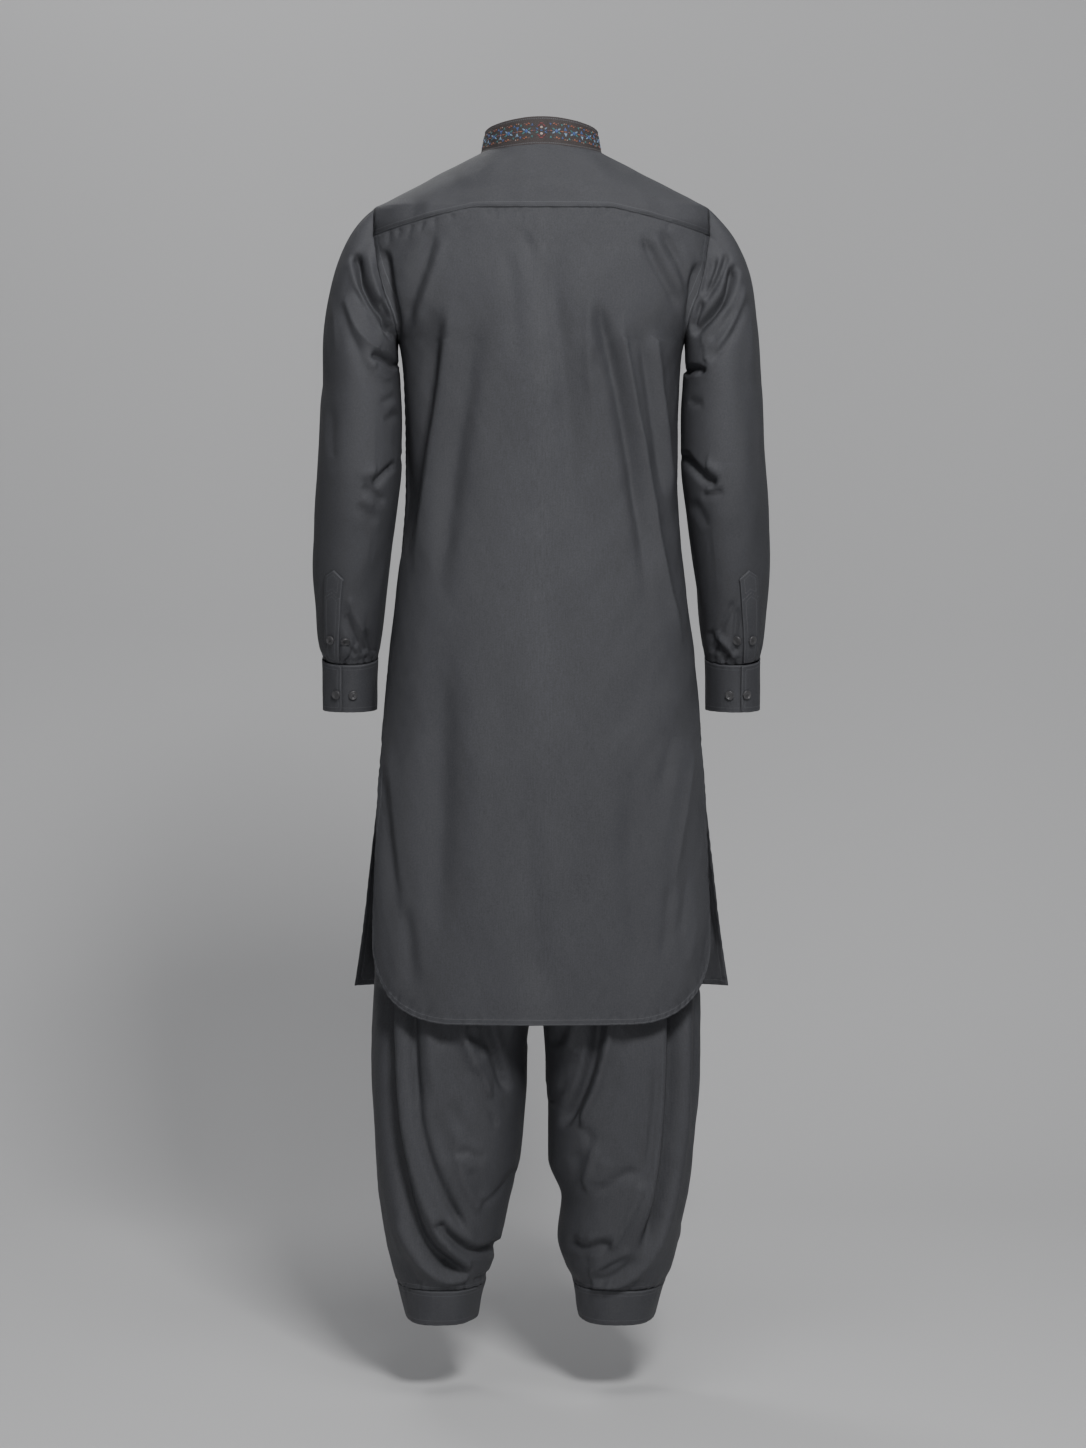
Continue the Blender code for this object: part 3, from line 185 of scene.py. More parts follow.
# Folds, in millimetres as seen from behind: push outward (minus is a trough), reach to the two sides
# of the line, sharpness, share of the line over which it starts and ends, and the line's points.
BACK_FOLDS = (
    (-5, 8.9, 8.9, 1.6, 0.3, 0.2, ((130, -92), (145, -137), (164, -190), (175, -231))),
    (2.5, 7.6, 7.6, 1.8, 0.3, 0.2, ((120, -104), (132, -142), (149, -190), (161, -235))),
    (-11, 16.5, 7.6, 1.8, 0.28, 0.3, ((128, -194), (135, -247), (144, -304), (153, -355), (161, -406),
     (169, -469), (177, -532))),
    (3, 6.3, 16.5, 1.5, 0.1, 0.3, ((115, -190), (121, -247), (130, -311), (139, -368), (147, -431),
     (156, -494), (169, -570))),
    (-5.5, 13.9, 15.2, 2, 0.25, 0.3, ((77, -203), (88, -254), (98, -317), (108, -380), (117, -444),
     (125, -519), (128, -602))),
    (-2, 10.1, 10.1, 2, 0.3, 0.4, ((49, -109), (41, -142), (36, -190), (32, -241), (32, -292))),
    (-2, 6.3, 6.3, 1.8, 0.2, 0.4, ((26, -94), (13, -133), (6, -171), (1, -197))),
    (-4.5, 12.7, 17.7, 1.9, 0.2, 0.4, ((-31, -99), (-20, -133), (-13, -165), (-15, -203), (-25, -254),
     (-32, -317), (-35, -393), (-37, -494))),
    (3, 7.6, 8.9, 1.6, 0.25, 0.4, ((-63, -173), (-59, -228), (-61, -292), (-69, -355))),
    (-8, 10.1, 10.1, 1.8, 0.12, 0.4, ((-70, -188), (-80, -235), (-91, -279), (-101, -330), (-111, -380),
     (-121, -444), (-131, -519), (-137, -602))),
    (5, 8.9, 5.1, 1.15, 0.1, 0.15, ((-101, -206), (-107, -254), (-116, -304), (-126, -355), (-135, -406),
     (-145, -469), (-156, -532), (-169, -589), (-184, -636))),
    (-4.5, 7.6, 6.3, 1.8, 0.2, 0.3, ((-125, -228), (-132, -279), (-140, -330), (-147, -380), (-155, -431),
     (-159, -469))),
    (4, 6.3, 5.1, 1.2, 0.15, 0.3, ((-142, -222), (-147, -266), (-153, -317), (-159, -368), (-163, -418),
     (-166, -469))),
    (-4.5, 5.7, 5.7, 1.6, 0.2, 0.25, ((-125, -107), (-140, -137), (-155, -165), (-168, -188), (-179, -211))),
    (-4, 5.7, 5.7, 1.6, 0.2, 0.2, ((-149, -101), (-164, -125), (-177, -147), (-184, -170), (-188, -190))),
    (2, 5.1, 5.1, 1.6, 0.2, 0.2, ((-137, -104), (-155, -137), (-170, -165), (-183, -190))),
    (-9, 5.7, 5.7, 2, 0.15, 0.3, ((199, -125), (196, -159), (191, -190), (185, -228), (182, -256))),
    (-7, 5.1, 5.1, 2, 0.2, 0.3, ((-197, -142), (-193, -178), (-189, -209), (-184, -241))),
    (1.4, 6.3, 6.3, 1.2, 0.15, 0.4, ((196, -754), (191, -811), (183, -887), (177, -956))),
    (-3.4, 8.9, 7.6, 1.8, 0.2, 0.4, ((203, -779), (196, -861), (188, -937), (182, -994))),
    (-5.5, 21.5, 19, 2, 0.3, 0.3, ((126, -595), (128, -773), (131, -925), (134, -1057))),
    (-3, 10.1, 10.1, 2, 0.3, 0.3, ((174, -950), (169, -1013), (161, -1076))),
    (2.5, 22.8, 22.8, 2, 0.3, 0.3, ((78, -621), (80, -823), (83, -1026))),
    (-3.5, 17.7, 17.7, 2, 0.35, 0.2, ((20, -773), (15, -925), (8, -1089))),
    (2.2, 22.8, 22.8, 2, 0.3, 0.3, ((-72, -621), (-77, -823), (-72, -1051))),
    (-3.5, 16.5, 16.5, 2, 0.3, 0.3, ((-120, -773), (-113, -887), (-122, -988), (-125, -1076))),
    (1.8, 6.3, 5.1, 1.15, 0.15, 0.35, ((-197, -747), (-189, -804), (-180, -861), (-173, -912), (-168, -956))),
    (-1.6, 10.1, 10.1, 1.8, 0.25, 0.35, ((-168, -732), (-158, -788), (-149, -830))),
    (1.4, 11.4, 11.4, 1.8, 0.25, 0.35, ((-178, -779), (-161, -842), (-150, -893))),
    (-1.8, 7.6, 7.6, 1.8, 0.3, 0.3, ((-165, -914), (-160, -982), (-153, -1038))),
    (-1.6, 6.3, 6.3, 1.7, 0.3, 0.3, ((-189, -909), (-180, -963), (-175, -1013))),
    (1.1, 6.3, 6.3, 1.7, 0.3, 0.3, ((-201, -950), (-193, -1001), (-185, -1045))),
    (-1.5, 2.8, 2.8, 1.8, 0.02, 0.8, ((68, -76), (68, -83), (68, -89))),
    (-1.5, 2.8, 2.8, 1.8, 0.02, 0.8, ((58, -76), (57, -87), (56, -97))),
    (-1.5, 2.8, 2.8, 1.8, 0.02, 0.8, ((47, -76), (46, -90), (45, -104))),
    (-1.5, 2.8, 2.8, 1.8, 0.02, 0.8, ((37, -76), (37, -87), (36, -97))),
    (-1.5, 2.8, 2.8, 1.8, 0.02, 0.8, ((27, -76), (26, -89), (25, -102))),
    (-1.5, 2.8, 2.8, 1.8, 0.02, 0.8, ((16, -76), (13, -95), (9, -114))),
    (-1.5, 2.8, 2.8, 1.8, 0.02, 0.8, ((6, -76), (4, -87), (3, -97))),
    (-1.5, 2.8, 2.8, 1.8, 0.02, 0.8, ((-2, -76), (-6, -98), (-9, -119))),
    (-1.5, 2.8, 2.8, 1.8, 0.02, 0.8, ((-12, -76), (-12, -88), (-12, -99))),
    (-1.5, 2.8, 2.8, 1.8, 0.02, 0.8, ((-20, -76), (-19, -93), (-18, -109))),
    (-1.5, 2.8, 2.8, 1.8, 0.02, 0.8, ((-30, -76), (-29, -85), (-28, -94))),
    (-1.5, 2.8, 2.8, 1.8, 0.02, 0.8, ((-40, -76), (-39, -92), (-37, -107))),
    (-1.5, 2.8, 2.8, 1.8, 0.02, 0.8, ((-50, -76), (-49, -87), (-49, -97))),
    (-1.5, 2.8, 2.8, 1.8, 0.02, 0.8, ((-60, -76), (-60, -84), (-60, -92))),
    (-1.5, 2.8, 2.8, 1.8, 0.02, 0.8, ((-70, -76), (-70, -89), (-69, -102))),
    (-1.5, 2.8, 2.8, 1.8, 0.02, 0.8, ((-82, -76), (-82, -83), (-82, -89))),
    (-1.2, 3, 3, 1.8, 0.02, 0.8, ((179, -101), (181, -109), (183, -118))),
    (-1.2, 3, 3, 1.8, 0.02, 0.8, ((164, -97), (168, -108), (172, -119))),
    (-1.2, 3, 3, 1.8, 0.02, 0.8, ((149, -92), (152, -102), (155, -112))),
    (-1.2, 3, 3, 1.8, 0.02, 0.8, ((134, -88), (135, -95), (137, -103))),
    (-1.2, 3, 3, 1.8, 0.02, 0.8, ((192, -104), (193, -114), (194, -125))),
    (-1.2, 3, 3, 1.8, 0.02, 0.8, ((113, -83), (114, -89), (115, -95))),
    (-1.2, 3, 3, 1.8, 0.02, 0.8, ((-109, -84), (-110, -89), (-111, -94))),
    (-1.2, 3, 3, 1.8, 0.02, 0.8, ((-160, -94), (-161, -101), (-163, -107))),
)
LEFT_SLEEVE_FOLDS = (
    (-15, 5.7, 5.7, 2.2, 0.1, 0.15, ((235, -131), (231, -150), (226, -169), (218, -187), (209, -202),
     (199, -216), (191, -230), (183, -247))),
    (4.5, 6.3, 3.8, 1.3, 0.15, 0.2, ((241, -135), (237, -157), (230, -179), (218, -197), (207, -211),
     (194, -227))),
    (4, 5.1, 5.1, 1.6, 0.3, 0.2, ((220, -125), (215, -155), (207, -182), (198, -201))),
    (-6, 3.8, 3.8, 1.8, 0.2, 0.2, ((204, -190), (197, -206), (189, -218))),
    (-3.5, 5.1, 5.1, 1.6, 0.25, 0.2, ((240, -171), (228, -194), (215, -213), (199, -235))),
    (3.5, 5.1, 5.1, 1.2, 0.2, 0.1, ((251, -180), (242, -211), (232, -231), (217, -247), (197, -257))),
    (-2.5, 6.3, 6.3, 1.8, 0.3, 0.3, ((254, -190), (247, -218), (237, -244), (220, -264))),
    (-8, 4.4, 5.1, 1.8, 0.12, 0.1, ((215, -260), (202, -264), (191, -269), (180, -278))),
    (2.5, 6.3, 6.3, 1.6, 0.3, 0.2, ((222, -269), (204, -276), (187, -292))),
    (-3, 8.9, 7.6, 1.8, 0.3, 0.3, ((242, -228), (230, -264), (212, -294), (194, -319))),
    (2, 3.8, 3.8, 1.4, 0.3, 0.4, ((265, -185), (261, -228), (259, -266))),
    (2, 3.8, 5.1, 1.3, 0.3, 0.4, ((277, -298), (275, -349), (272, -399))),
    (-2, 6.3, 6.3, 1.8, 0.3, 0.4, ((268, -317), (265, -368), (263, -412))),
    (-3, 5.1, 5.1, 1.8, 0.2, 0.4, ((184, -311), (194, -319), (207, -322))),
    (-3, 6.3, 6.3, 1.8, 0.2, 0.4, ((180, -332), (192, -342), (204, -347))),
    (3, 3.8, 3.8, 1.5, 0.2, 0.3, ((180, -383), (191, -390), (201, -383), (204, -373))),
    (5, 5.1, 6.3, 1.4, 0.15, 0.3, ((183, -387), (194, -398), (212, -409), (235, -414))),
    (-9, 5.1, 3.8, 1.7, 0.1, 0.15, ((184, -397), (196, -407), (204, -417), (213, -426))),
    (-4.5, 4.4, 4.4, 1.7, 0.2, 0.25, ((228, -427), (217, -432), (206, -440), (197, -450))),
    (2.5, 6.3, 6.3, 1.7, 0.3, 0.3, ((232, -440), (217, -447), (199, -460))),
    (-2, 7.6, 6.3, 1.8, 0.3, 0.3, ((240, -450), (222, -460), (204, -474))),
    (3.2, 4.4, 4.4, 1.5, 0.15, 0.2, ((245, -565), (239, -583), (230, -603), (218, -622))),
    (-4.5, 4.4, 4.4, 1.7, 0.2, 0.1, ((249, -585), (242, -608), (232, -627), (222, -640))),
    (-4, 3.8, 3.8, 1.7, 0.2, 0.1, ((225, -606), (216, -621), (212, -640))),
    (-3, 3.2, 3.2, 1.7, 0.2, 0.05, ((250, -621), (242, -633), (234, -642))),
    (2.5, 3.8, 3.8, 1.7, 0.2, 0.05, ((235, -627), (227, -636), (220, -642))),
)
RIGHT_SLEEVE_FOLDS = (
    (-14, 5.7, 5.7, 2.2, 0.12, 0.12, ((-244, -145), (-240, -168), (-235, -184), (-225, -199), (-213, -213),
     (-201, -226), (-188, -238))),
    (5, 3.8, 6.3, 1.3, 0.15, 0.2, ((-249, -150), (-245, -171), (-237, -189), (-223, -207), (-207, -223),
     (-193, -238))),
    (-6, 3.8, 3.8, 1.8, 0.2, 0.15, ((-236, -130), (-228, -155), (-217, -176), (-204, -194))),
    (3, 3.8, 3.8, 1.5, 0.2, 0.2, ((-228, -135), (-222, -155), (-212, -175))),
    (-4.5, 3.3, 3.3, 1.8, 0.2, 0.15, ((-221, -137), (-215, -159), (-204, -185))),
    (-3, 3, 3, 1.8, 0.2, 0.15, ((-212, -142), (-207, -165), (-201, -185))),
    (-7, 4.1, 4.1, 1.8, 0.2, 0.2, ((-203, -190), (-197, -211), (-188, -230))),
    (-3, 3.8, 3.8, 1.8, 0.2, 0.2, ((-234, -190), (-216, -211), (-198, -233))),
    (3.2, 5.1, 5.1, 1.25, 0.2, 0.2, ((-256, -165), (-253, -197), (-239, -228), (-216, -261))),
    (-3.2, 6.3, 5.1, 1.8, 0.25, 0.2, ((-259, -185), (-249, -222), (-231, -250), (-211, -274))),
    (-2.5, 5.1, 5.1, 1.8, 0.25, 0.2, ((-245, -198), (-231, -223), (-211, -247))),
    (1.8, 5.1, 3.8, 1.4, 0.3, 0.4, ((-264, -190), (-266, -241), (-265, -292))),
    (2, 5.1, 3.8, 1.3, 0.3, 0.4, ((-275, -266), (-277, -330), (-273, -406))),
    (-9, 5.1, 5.1, 1.8, 0.1, 0.2, ((-178, -284), (-188, -278), (-199, -278), (-204, -287))),
    (2.5, 5.1, 5.1, 1.6, 0.2, 0.4, ((-188, -266), (-201, -269), (-216, -266))),
    (-3, 5.1, 5.1, 1.8, 0.2, 0.4, ((-185, -319), (-196, -322), (-206, -321))),
    (5.5, 6.3, 5.1, 1.4, 0.12, 0.25, ((-180, -371), (-196, -388), (-213, -402), (-231, -416))),
    (-11, 5.7, 5.7, 2, 0.1, 0.12, ((-178, -383), (-191, -401), (-206, -416), (-222, -426))),
    (4, 3.8, 3.8, 1.5, 0.15, 0.2, ((-180, -406), (-192, -421), (-203, -430), (-221, -427))),
    (-5, 3.8, 3.8, 1.7, 0.2, 0.25, ((-201, -438), (-216, -437), (-232, -432))),
    (-3, 6.3, 6.3, 1.8, 0.2, 0.3, ((-188, -444), (-201, -459), (-212, -484))),
    (-3, 4.4, 4.4, 1.7, 0.2, 0.2, ((-244, -570), (-234, -593), (-221, -618))),
    (3.6, 4.4, 4.4, 1.5, 0.2, 0.1, ((-217, -611), (-228, -622), (-239, -633), (-246, -646))),
    (-5.5, 4.4, 4.4, 1.7, 0.2, 0.1, ((-215, -625), (-226, -636), (-237, -646))),
    (-3.5, 3.8, 3.8, 1.7, 0.2, 0.1, ((-249, -578), (-246, -608), (-245, -640))),
    (-3, 5.1, 5.1, 1.7, 0.2, 0.2, ((-211, -608), (-218, -621), (-216, -640))),
)
LEFT_LEG_FOLDS = (
    (-17.6, 8.9, 8.9, 2, 0.02, 0.1, ((197, -1057), (197, -1152), (194, -1216), (188, -1266), (179, -1314),
     (168, -1355), (153, -1390), (132, -1413), (106, -1427), (85, -1432))),
    (6.8, 5.1, 7.6, 1.2, 0.02, 0.15, ((187, -1057), (184, -1152), (178, -1228), (168, -1285), (153, -1336),
     (132, -1378), (113, -1403), (93, -1422))),
    (-12.2, 6.3, 6.3, 1.9, 0.02, 0.12, ((165, -1076), (164, -1140), (160, -1197), (154, -1241), (144, -1279),
     (131, -1311), (118, -1336), (102, -1363), (87, -1382))),
    (5.4, 4.4, 6.3, 1.25, 0.15, 0.1, ((159, -1197), (154, -1235), (144, -1273), (128, -1311), (113, -1338),
     (96, -1365), (83, -1384))),
    (4, 5.1, 7.6, 1.3, 0.02, 0.4, ((146, -1076), (144, -1140), (139, -1184), (132, -1222))),
    (-4.3, 11.5, 11.5, 2, 0.02, 0.4, ((128, -1076), (126, -1121), (116, -1146))),
    (-3, 10.1, 10.1, 2, 0.3, 0.4, ((134, -1216), (123, -1266), (108, -1304))),
    (9.5, 6.3, 6.3, 1.25, 0.02, 0.05, ((107, -1076), (102, -1114), (91, -1146), (74, -1184), (59, -1216),
     (42, -1247), (26, -1271))),
    (-5.6, 9.9, 9.9, 2, 0.02, 0.4, ((91, -1127), (80, -1127), (68, -1152))),
    (-6, 5.7, 5.7, 1.8, 0.2, 0.25, ((88, -1160), (74, -1193), (60, -1223), (54, -1251))),
    (-10, 6.3, 6.3, 1.9, 0.02, 0.15, ((83, -1076), (73, -1114), (60, -1150), (49, -1180), (40, -1201))),
    (6, 5.1, 5.1, 1.4, 0.02, 0.1, ((69, -1076), (64, -1114), (53, -1140), (40, -1165), (25, -1183))),
    (2.2, 4.9, 4.9, 1.6, 0.2, 0.2, ((46, -1171), (40, -1188), (30, -1195))),
    (-3.1, 6.6, 6.6, 1.8, 0.2, 0.2, ((53, -1208), (42, -1226), (32, -1238))),
    (-2.5, 8.9, 8.9, 1.9, 0.3, 0.3, ((120, -1203), (109, -1228), (91, -1256), (70, -1266))),
    (-3.1, 4.9, 6.6, 1.6, 0.1, 0.4, ((107, -1276), (96, -1273), (83, -1279), (70, -1289))),
    (5, 6.3, 5.1, 1.25, 0.1, 0.15, ((107, -1274), (102, -1302), (93, -1325), (80, -1345), (65, -1360),
     (56, -1378))),
    (-2.5, 8.2, 8.2, 1.9, 0.25, 0.3, ((91, -1292), (79, -1317), (70, -1337))),
    (-3.7, 4.1, 4.9, 1.5, 0.1, 0.15, ((32, -1294), (46, -1317), (61, -1332), (78, -1346))),
    (1.6, 8.2, 8.2, 1.8, 0.2, 0.3, ((35, -1279), (53, -1289), (70, -1311))),
    (-11, 5.7, 5.7, 1.9, 0.06, 0.1, ((134, -1364), (122, -1380), (106, -1393), (88, -1402), (65, -1401),
     (50, -1385))),
    (5, 5.1, 5.1, 1.3, 0.12, 0.15, ((139, -1365), (127, -1384), (113, -1403), (97, -1418), (79, -1425),
     (64, -1416))),
    (2.5, 5.7, 5.7, 1.4, 0.2, 0.15, ((121, -1357), (106, -1375), (88, -1388), (69, -1393))),
    (1.6, 4.1, 4.1, 1.4, 0.2, 0.2, ((53, -1357), (61, -1380), (68, -1398))),
    (6, 7.6, 6.3, 1.4, 0.2, 0.05, ((188, -1349), (177, -1383), (160, -1412), (139, -1432), (116, -1442),
     (98, -1438), (83, -1431))),
    (-3.1, 4.9, 4.9, 1.8, 0.3, 0.05, ((134, -1408), (116, -1421), (98, -1428), (87, -1432))),
    (-4, 4.4, 4.4, 1.7, 0.3, 0.1, ((141, -1452), (109, -1446), (80, -1436), (61, -1425))),
    (2, 5.1, 3.8, 1.3, 0.3, 0.3, ((204, -1292), (197, -1345), (184, -1393), (174, -1425))),
    (-1.9, 9.9, 9.9, 1.9, 0.3, 0.2, ((184, -1399), (169, -1431), (149, -1447))),
)
RIGHT_LEG_FOLDS = (
    (-18.9, 7.6, 7.6, 2, 0.02, 0.15, ((-170, -1057), (-170, -1152), (-169, -1203), (-165, -1254),
     (-159, -1304), (-150, -1349), (-137, -1384), (-122, -1409))),
    (7.4, 7.6, 7.6, 1.5, 0.02, 0.06, ((-185, -1057), (-185, -1178), (-182, -1241), (-174, -1304),
     (-163, -1355), (-147, -1399), (-127, -1427), (-104, -1444), (-79, -1449), (-61, -1444), (-53, -1435))),
    (2.7, 3.8, 3.8, 1.3, 0.05, 0.3, ((-198, -1057), (-197, -1165), (-191, -1254), (-180, -1342),
     (-165, -1403))),
    (-2.7, 3.8, 3.8, 1.8, 0.05, 0.4, ((-193, -1057), (-192, -1165), (-185, -1254))),
    (6.8, 5.7, 6.3, 1.3, 0.02, 0.2, ((-155, -1057), (-155, -1165), (-153, -1216), (-147, -1279), (-140, -1330),
     (-128, -1374), (-118, -1408))),
    (-3, 3.2, 3.2, 1.6, 0.2, 0.3, ((-146, -1152), (-144, -1216), (-137, -1279), (-128, -1336))),
    (1.8, 3.8, 3.8, 1.4, 0.3, 0.3, ((-137, -1178), (-135, -1241), (-126, -1304))),
    (-3.7, 13.2, 13.2, 2, 0.02, 0.4, ((-132, -1057), (-130, -1114), (-125, -1133))),
    (-2.5, 3.8, 3.8, 1.6, 0.15, 0.3, ((-112, -1089), (-102, -1140), (-92, -1190), (-79, -1238))),
    (2, 3.3, 3.3, 1.4, 0.15, 0.3, ((-107, -1089), (-97, -1142), (-87, -1193))),
    (10.8, 6.3, 6.3, 1.25, 0.02, 0.04, ((-91, -1076), (-87, -1121), (-80, -1155), (-70, -1190), (-55, -1226),
     (-39, -1254), (-21, -1269), (-6, -1274))),
    (-13.5, 7.6, 7.6, 2, 0.02, 0.15, ((-74, -1076), (-72, -1121), (-64, -1159), (-51, -1193), (-37, -1222),
     (-23, -1247))),
    (6, 6.3, 6.3, 1.4, 0.02, 0.08, ((-49, -1076), (-42, -1117), (-31, -1147), (-20, -1171), (-4, -1185))),
    (2.5, 3.8, 3.8, 1.6, 0.2, 0.3, ((-59, -1127), (-49, -1171), (-34, -1209))),
    (-5, 8.2, 8.2, 2, 0.02, 0.2, ((-32, -1076), (-26, -1117), (-15, -1142))),
    (-3.1, 6.6, 6.6, 1.8, 0.2, 0.1, ((-31, -1175), (-22, -1201), (-12, -1216))),
    (-3.1, 6.6, 6.6, 1.7, 0.1, 0.4, ((-46, -1245), (-59, -1250), (-64, -1263), (-60, -1282))),
    (5.5, 5.1, 6.3, 1.25, 0.15, 0.06, ((-68, -1254), (-64, -1282), (-56, -1309), (-45, -1336), (-31, -1357),
     (-18, -1378))),
    (-3.1, 9.9, 9.9, 1.9, 0.25, 0.3, ((-49, -1266), (-45, -1298), (-36, -1327))),
    (-1.6, 6.6, 6.6, 1.8, 0.3, 0.3, ((-23, -1279), (-31, -1311), (-36, -1336))),
    (-3.1, 5.7, 5.7, 1.6, 0.12, 0.2, ((-127, -1303), (-112, -1299), (-96, -1308), (-80, -1322), (-66, -1325))),
    (1.6, 9.9, 9.9, 1.8, 0.3, 0.2, ((-82, -1279), (-74, -1302), (-70, -1317))),
    (4.5, 5.1, 5.1, 1.3, 0.15, 0.1, ((-128, -1309), (-122, -1337), (-109, -1364), (-96, -1387), (-88, -1401))),
    (-7.4, 6.6, 8.2, 1.8, 0.08, 0.1, ((-89, -1398), (-79, -1392), (-61, -1397), (-46, -1395), (-34, -1384))),
    (1.9, 6.6, 6.6, 1.5, 0.2, 0.3, ((-42, -1375), (-53, -1388), (-72, -1385), (-87, -1380))),
    (-2.5, 6.6, 6.6, 1.8, 0.2, 0.3, ((-34, -1408), (-49, -1413), (-66, -1416))),
    (3.1, 5.7, 5.7, 1.3, 0.12, 0.08, ((-115, -1401), (-94, -1411), (-74, -1421), (-55, -1432))),
    (-3.1, 4.3, 4.3, 1.6, 0.2, 0.2, ((-109, -1409), (-89, -1419), (-74, -1430))),
    (-3.1, 5.7, 5.7, 1.7, 0.2, 0.2, ((-61, -1435), (-82, -1437), (-104, -1427), (-122, -1409))),
    (-2.2, 5.7, 5.7, 1.7, 0.2, 0.2, ((-23, -1421), (-40, -1440), (-61, -1452))),
    (1.8, 5.1, 3.8, 1.3, 0.3, 0.3, ((-185, -1361), (-173, -1408), (-155, -1441))),
)
FRONT_FOLDS = (
    (-4.5, 9, 9, 1.7, 0.2, 0.3, ((112, -128), (128, -160), (148, -205), (160, -238))),
    (3, 7, 7, 1.4, 0.2, 0.3, ((104, -135), (120, -170), (138, -212))),
    (-4, 8, 8, 1.7, 0.2, 0.3, ((-116, -126), (-134, -166), (-156, -214), (-166, -240))),
    (3, 7, 6, 1.4, 0.2, 0.3, ((-106, -132), (-124, -172), (-146, -220))),
    (-6, 12, 16, 1.9, 0.2, 0.3, ((94, -230), (104, -330), (116, -430), (124, -545))),
    (4, 6, 9, 1.3, 0.15, 0.3, ((118, -250), (126, -340), (138, -440), (150, -520))),
    (-7, 16, 11, 1.9, 0.2, 0.3, ((-88, -225), (-103, -330), (-118, -440), (-131, -555))),
    (4.5, 8, 5, 1.2, 0.15, 0.3, ((-112, -262), (-124, -350), (-138, -452), (-155, -540))),
    (-3.5, 12, 12, 1.9, 0.3, 0.4, ((44, -140), (52, -240), (50, -380))),
    (-3.5, 12, 12, 1.9, 0.3, 0.4, ((-42, -150), (-54, -250), (-58, -400))),
    (-8, 20, 16, 1.9, 0.3, 0.1, ((150, -690), (162, -840), (182, -1040))),
    (5, 9, 13, 1.3, 0.25, 0.1, ((178, -760), (196, -900), (224, -1060))),
    (-7, 18, 20, 1.9, 0.3, 0.1, ((76, -560), (86, -750), (102, -1060))),
    (4.5, 12, 10, 1.4, 0.3, 0.1, ((112, -700), (124, -860), (142, -1060))),
    (-4.5, 20, 20, 1.9, 0.3, 0.1, ((-8, -630), (2, -820), (8, -1066))),
    (4, 12, 12, 1.4, 0.3, 0.1, ((38, -680), (44, -860), (54, -1066))),
    (-7, 20, 16, 1.9, 0.3, 0.1, ((-84, -580), (-92, -780), (-98, -1062))),
    (4.5, 11, 12, 1.3, 0.3, 0.1, ((-48, -650), (-48, -830), (-46, -1064))),
    (-8, 18, 18, 1.9, 0.3, 0.1, ((-152, -700), (-166, -860), (-180, -1040))),
    (5, 12, 8, 1.3, 0.25, 0.1, ((-128, -740), (-134, -880), (-140, -1050))),
    (4, 10, 9, 1.3, 0.25, 0.1, ((-188, -780), (-206, -900), (-232, -1050))),
)
# Small gathers under the yoke on the front, and the soft hang over each shoulder.
YOKE_FOLDS = (
    (-1.6, 8, 8, 1.8, 0.3, 0.3, ((150, -62), (162, -80), (172, -98))),
    (1.4, 7, 7, 1.6, 0.3, 0.3, ((128, -50), (140, -68), (150, -86))),
    (-1.2, 9, 9, 1.8, 0.3, 0.3, ((96, -36), (104, -58), (110, -78))),
    (-1.4, 8, 8, 1.8, 0.3, 0.3, ((-142, -58), (-156, -78), (-166, -98))),
    (1.2, 7, 7, 1.6, 0.3, 0.3, ((-118, -46), (-128, -64), (-140, -84))),
    (-1, 10, 10, 1.8, 0.3, 0.3, ((-60, -24), (-66, -48), (-70, -72))),
    (1, 12, 12, 1.8, 0.3, 0.3, ((20, -22), (24, -48), (26, -74))),
)


def smooth_lookup(table, columns, wanted, z):
    """Read one column of a table at the heights z with a monotone cubic through its rows."""
    position = columns.index(wanted)
    heights = np.array([row[0] for row in table])[::-1]
    values = np.array([row[position] for row in table])[::-1]
    steps = np.diff(heights)
    slopes = np.diff(values) / steps
    tangents = np.zeros(len(values))
    tangents[0] = slopes[0]
    tangents[-1] = slopes[-1]
    for row in range(1, len(values) - 1):
        if slopes[row - 1] * slopes[row] > 0.0:
            before = 2.0 * steps[row] + steps[row - 1]
            after = steps[row] + 2.0 * steps[row - 1]
            tangents[row] = (before + after) / (before / slopes[row - 1] + after / slopes[row])
    z = np.clip(np.asarray(z, dtype=float), heights[0], heights[-1])
    index = np.clip(np.searchsorted(heights, z) - 1, 0, len(steps) - 1)
    width = steps[index]
    part = (z - heights[index]) / width
    low = (1.0 + 2.0 * part) * (1.0 - part) ** 2 * values[index]
    low_tangent = part * (1.0 - part) ** 2 * width * tangents[index]
    high = part ** 2 * (3.0 - 2.0 * part) * values[index + 1]
    high_tangent = part ** 2 * (part - 1.0) * width * tangents[index + 1]
    return low + low_tangent + high + high_tangent


def body_half_width(z, face):
    z = np.asarray(z, dtype=float)
    width = smooth_lookup(BODY_SECTIONS, BODY_COLUMNS, "half_width", z)
    if face == "front":
        flared = smooth_lookup(FRONT_SKIRT, FRONT_SKIRT_COLUMNS, "half_width", z)
        width = np.where(z < SLIT_TOP, flared, width)
    return width


def body_depth(z, face):
    return smooth_lookup(BODY_SECTIONS, BODY_COLUMNS, face + "_depth", z)


def body_squareness(z):
    return smooth_lookup(BODY_SECTIONS, BODY_COLUMNS, "squareness", z)


def edge_angle(z, face):
    """Angle from the middle of the face to its open edge (armhole, side seam or slit)."""
    share = smooth_lookup(EDGE_SHARE, EDGE_COLUMNS, face, z)
    return np.arccos(share ** (body_squareness(z) / 2.0))


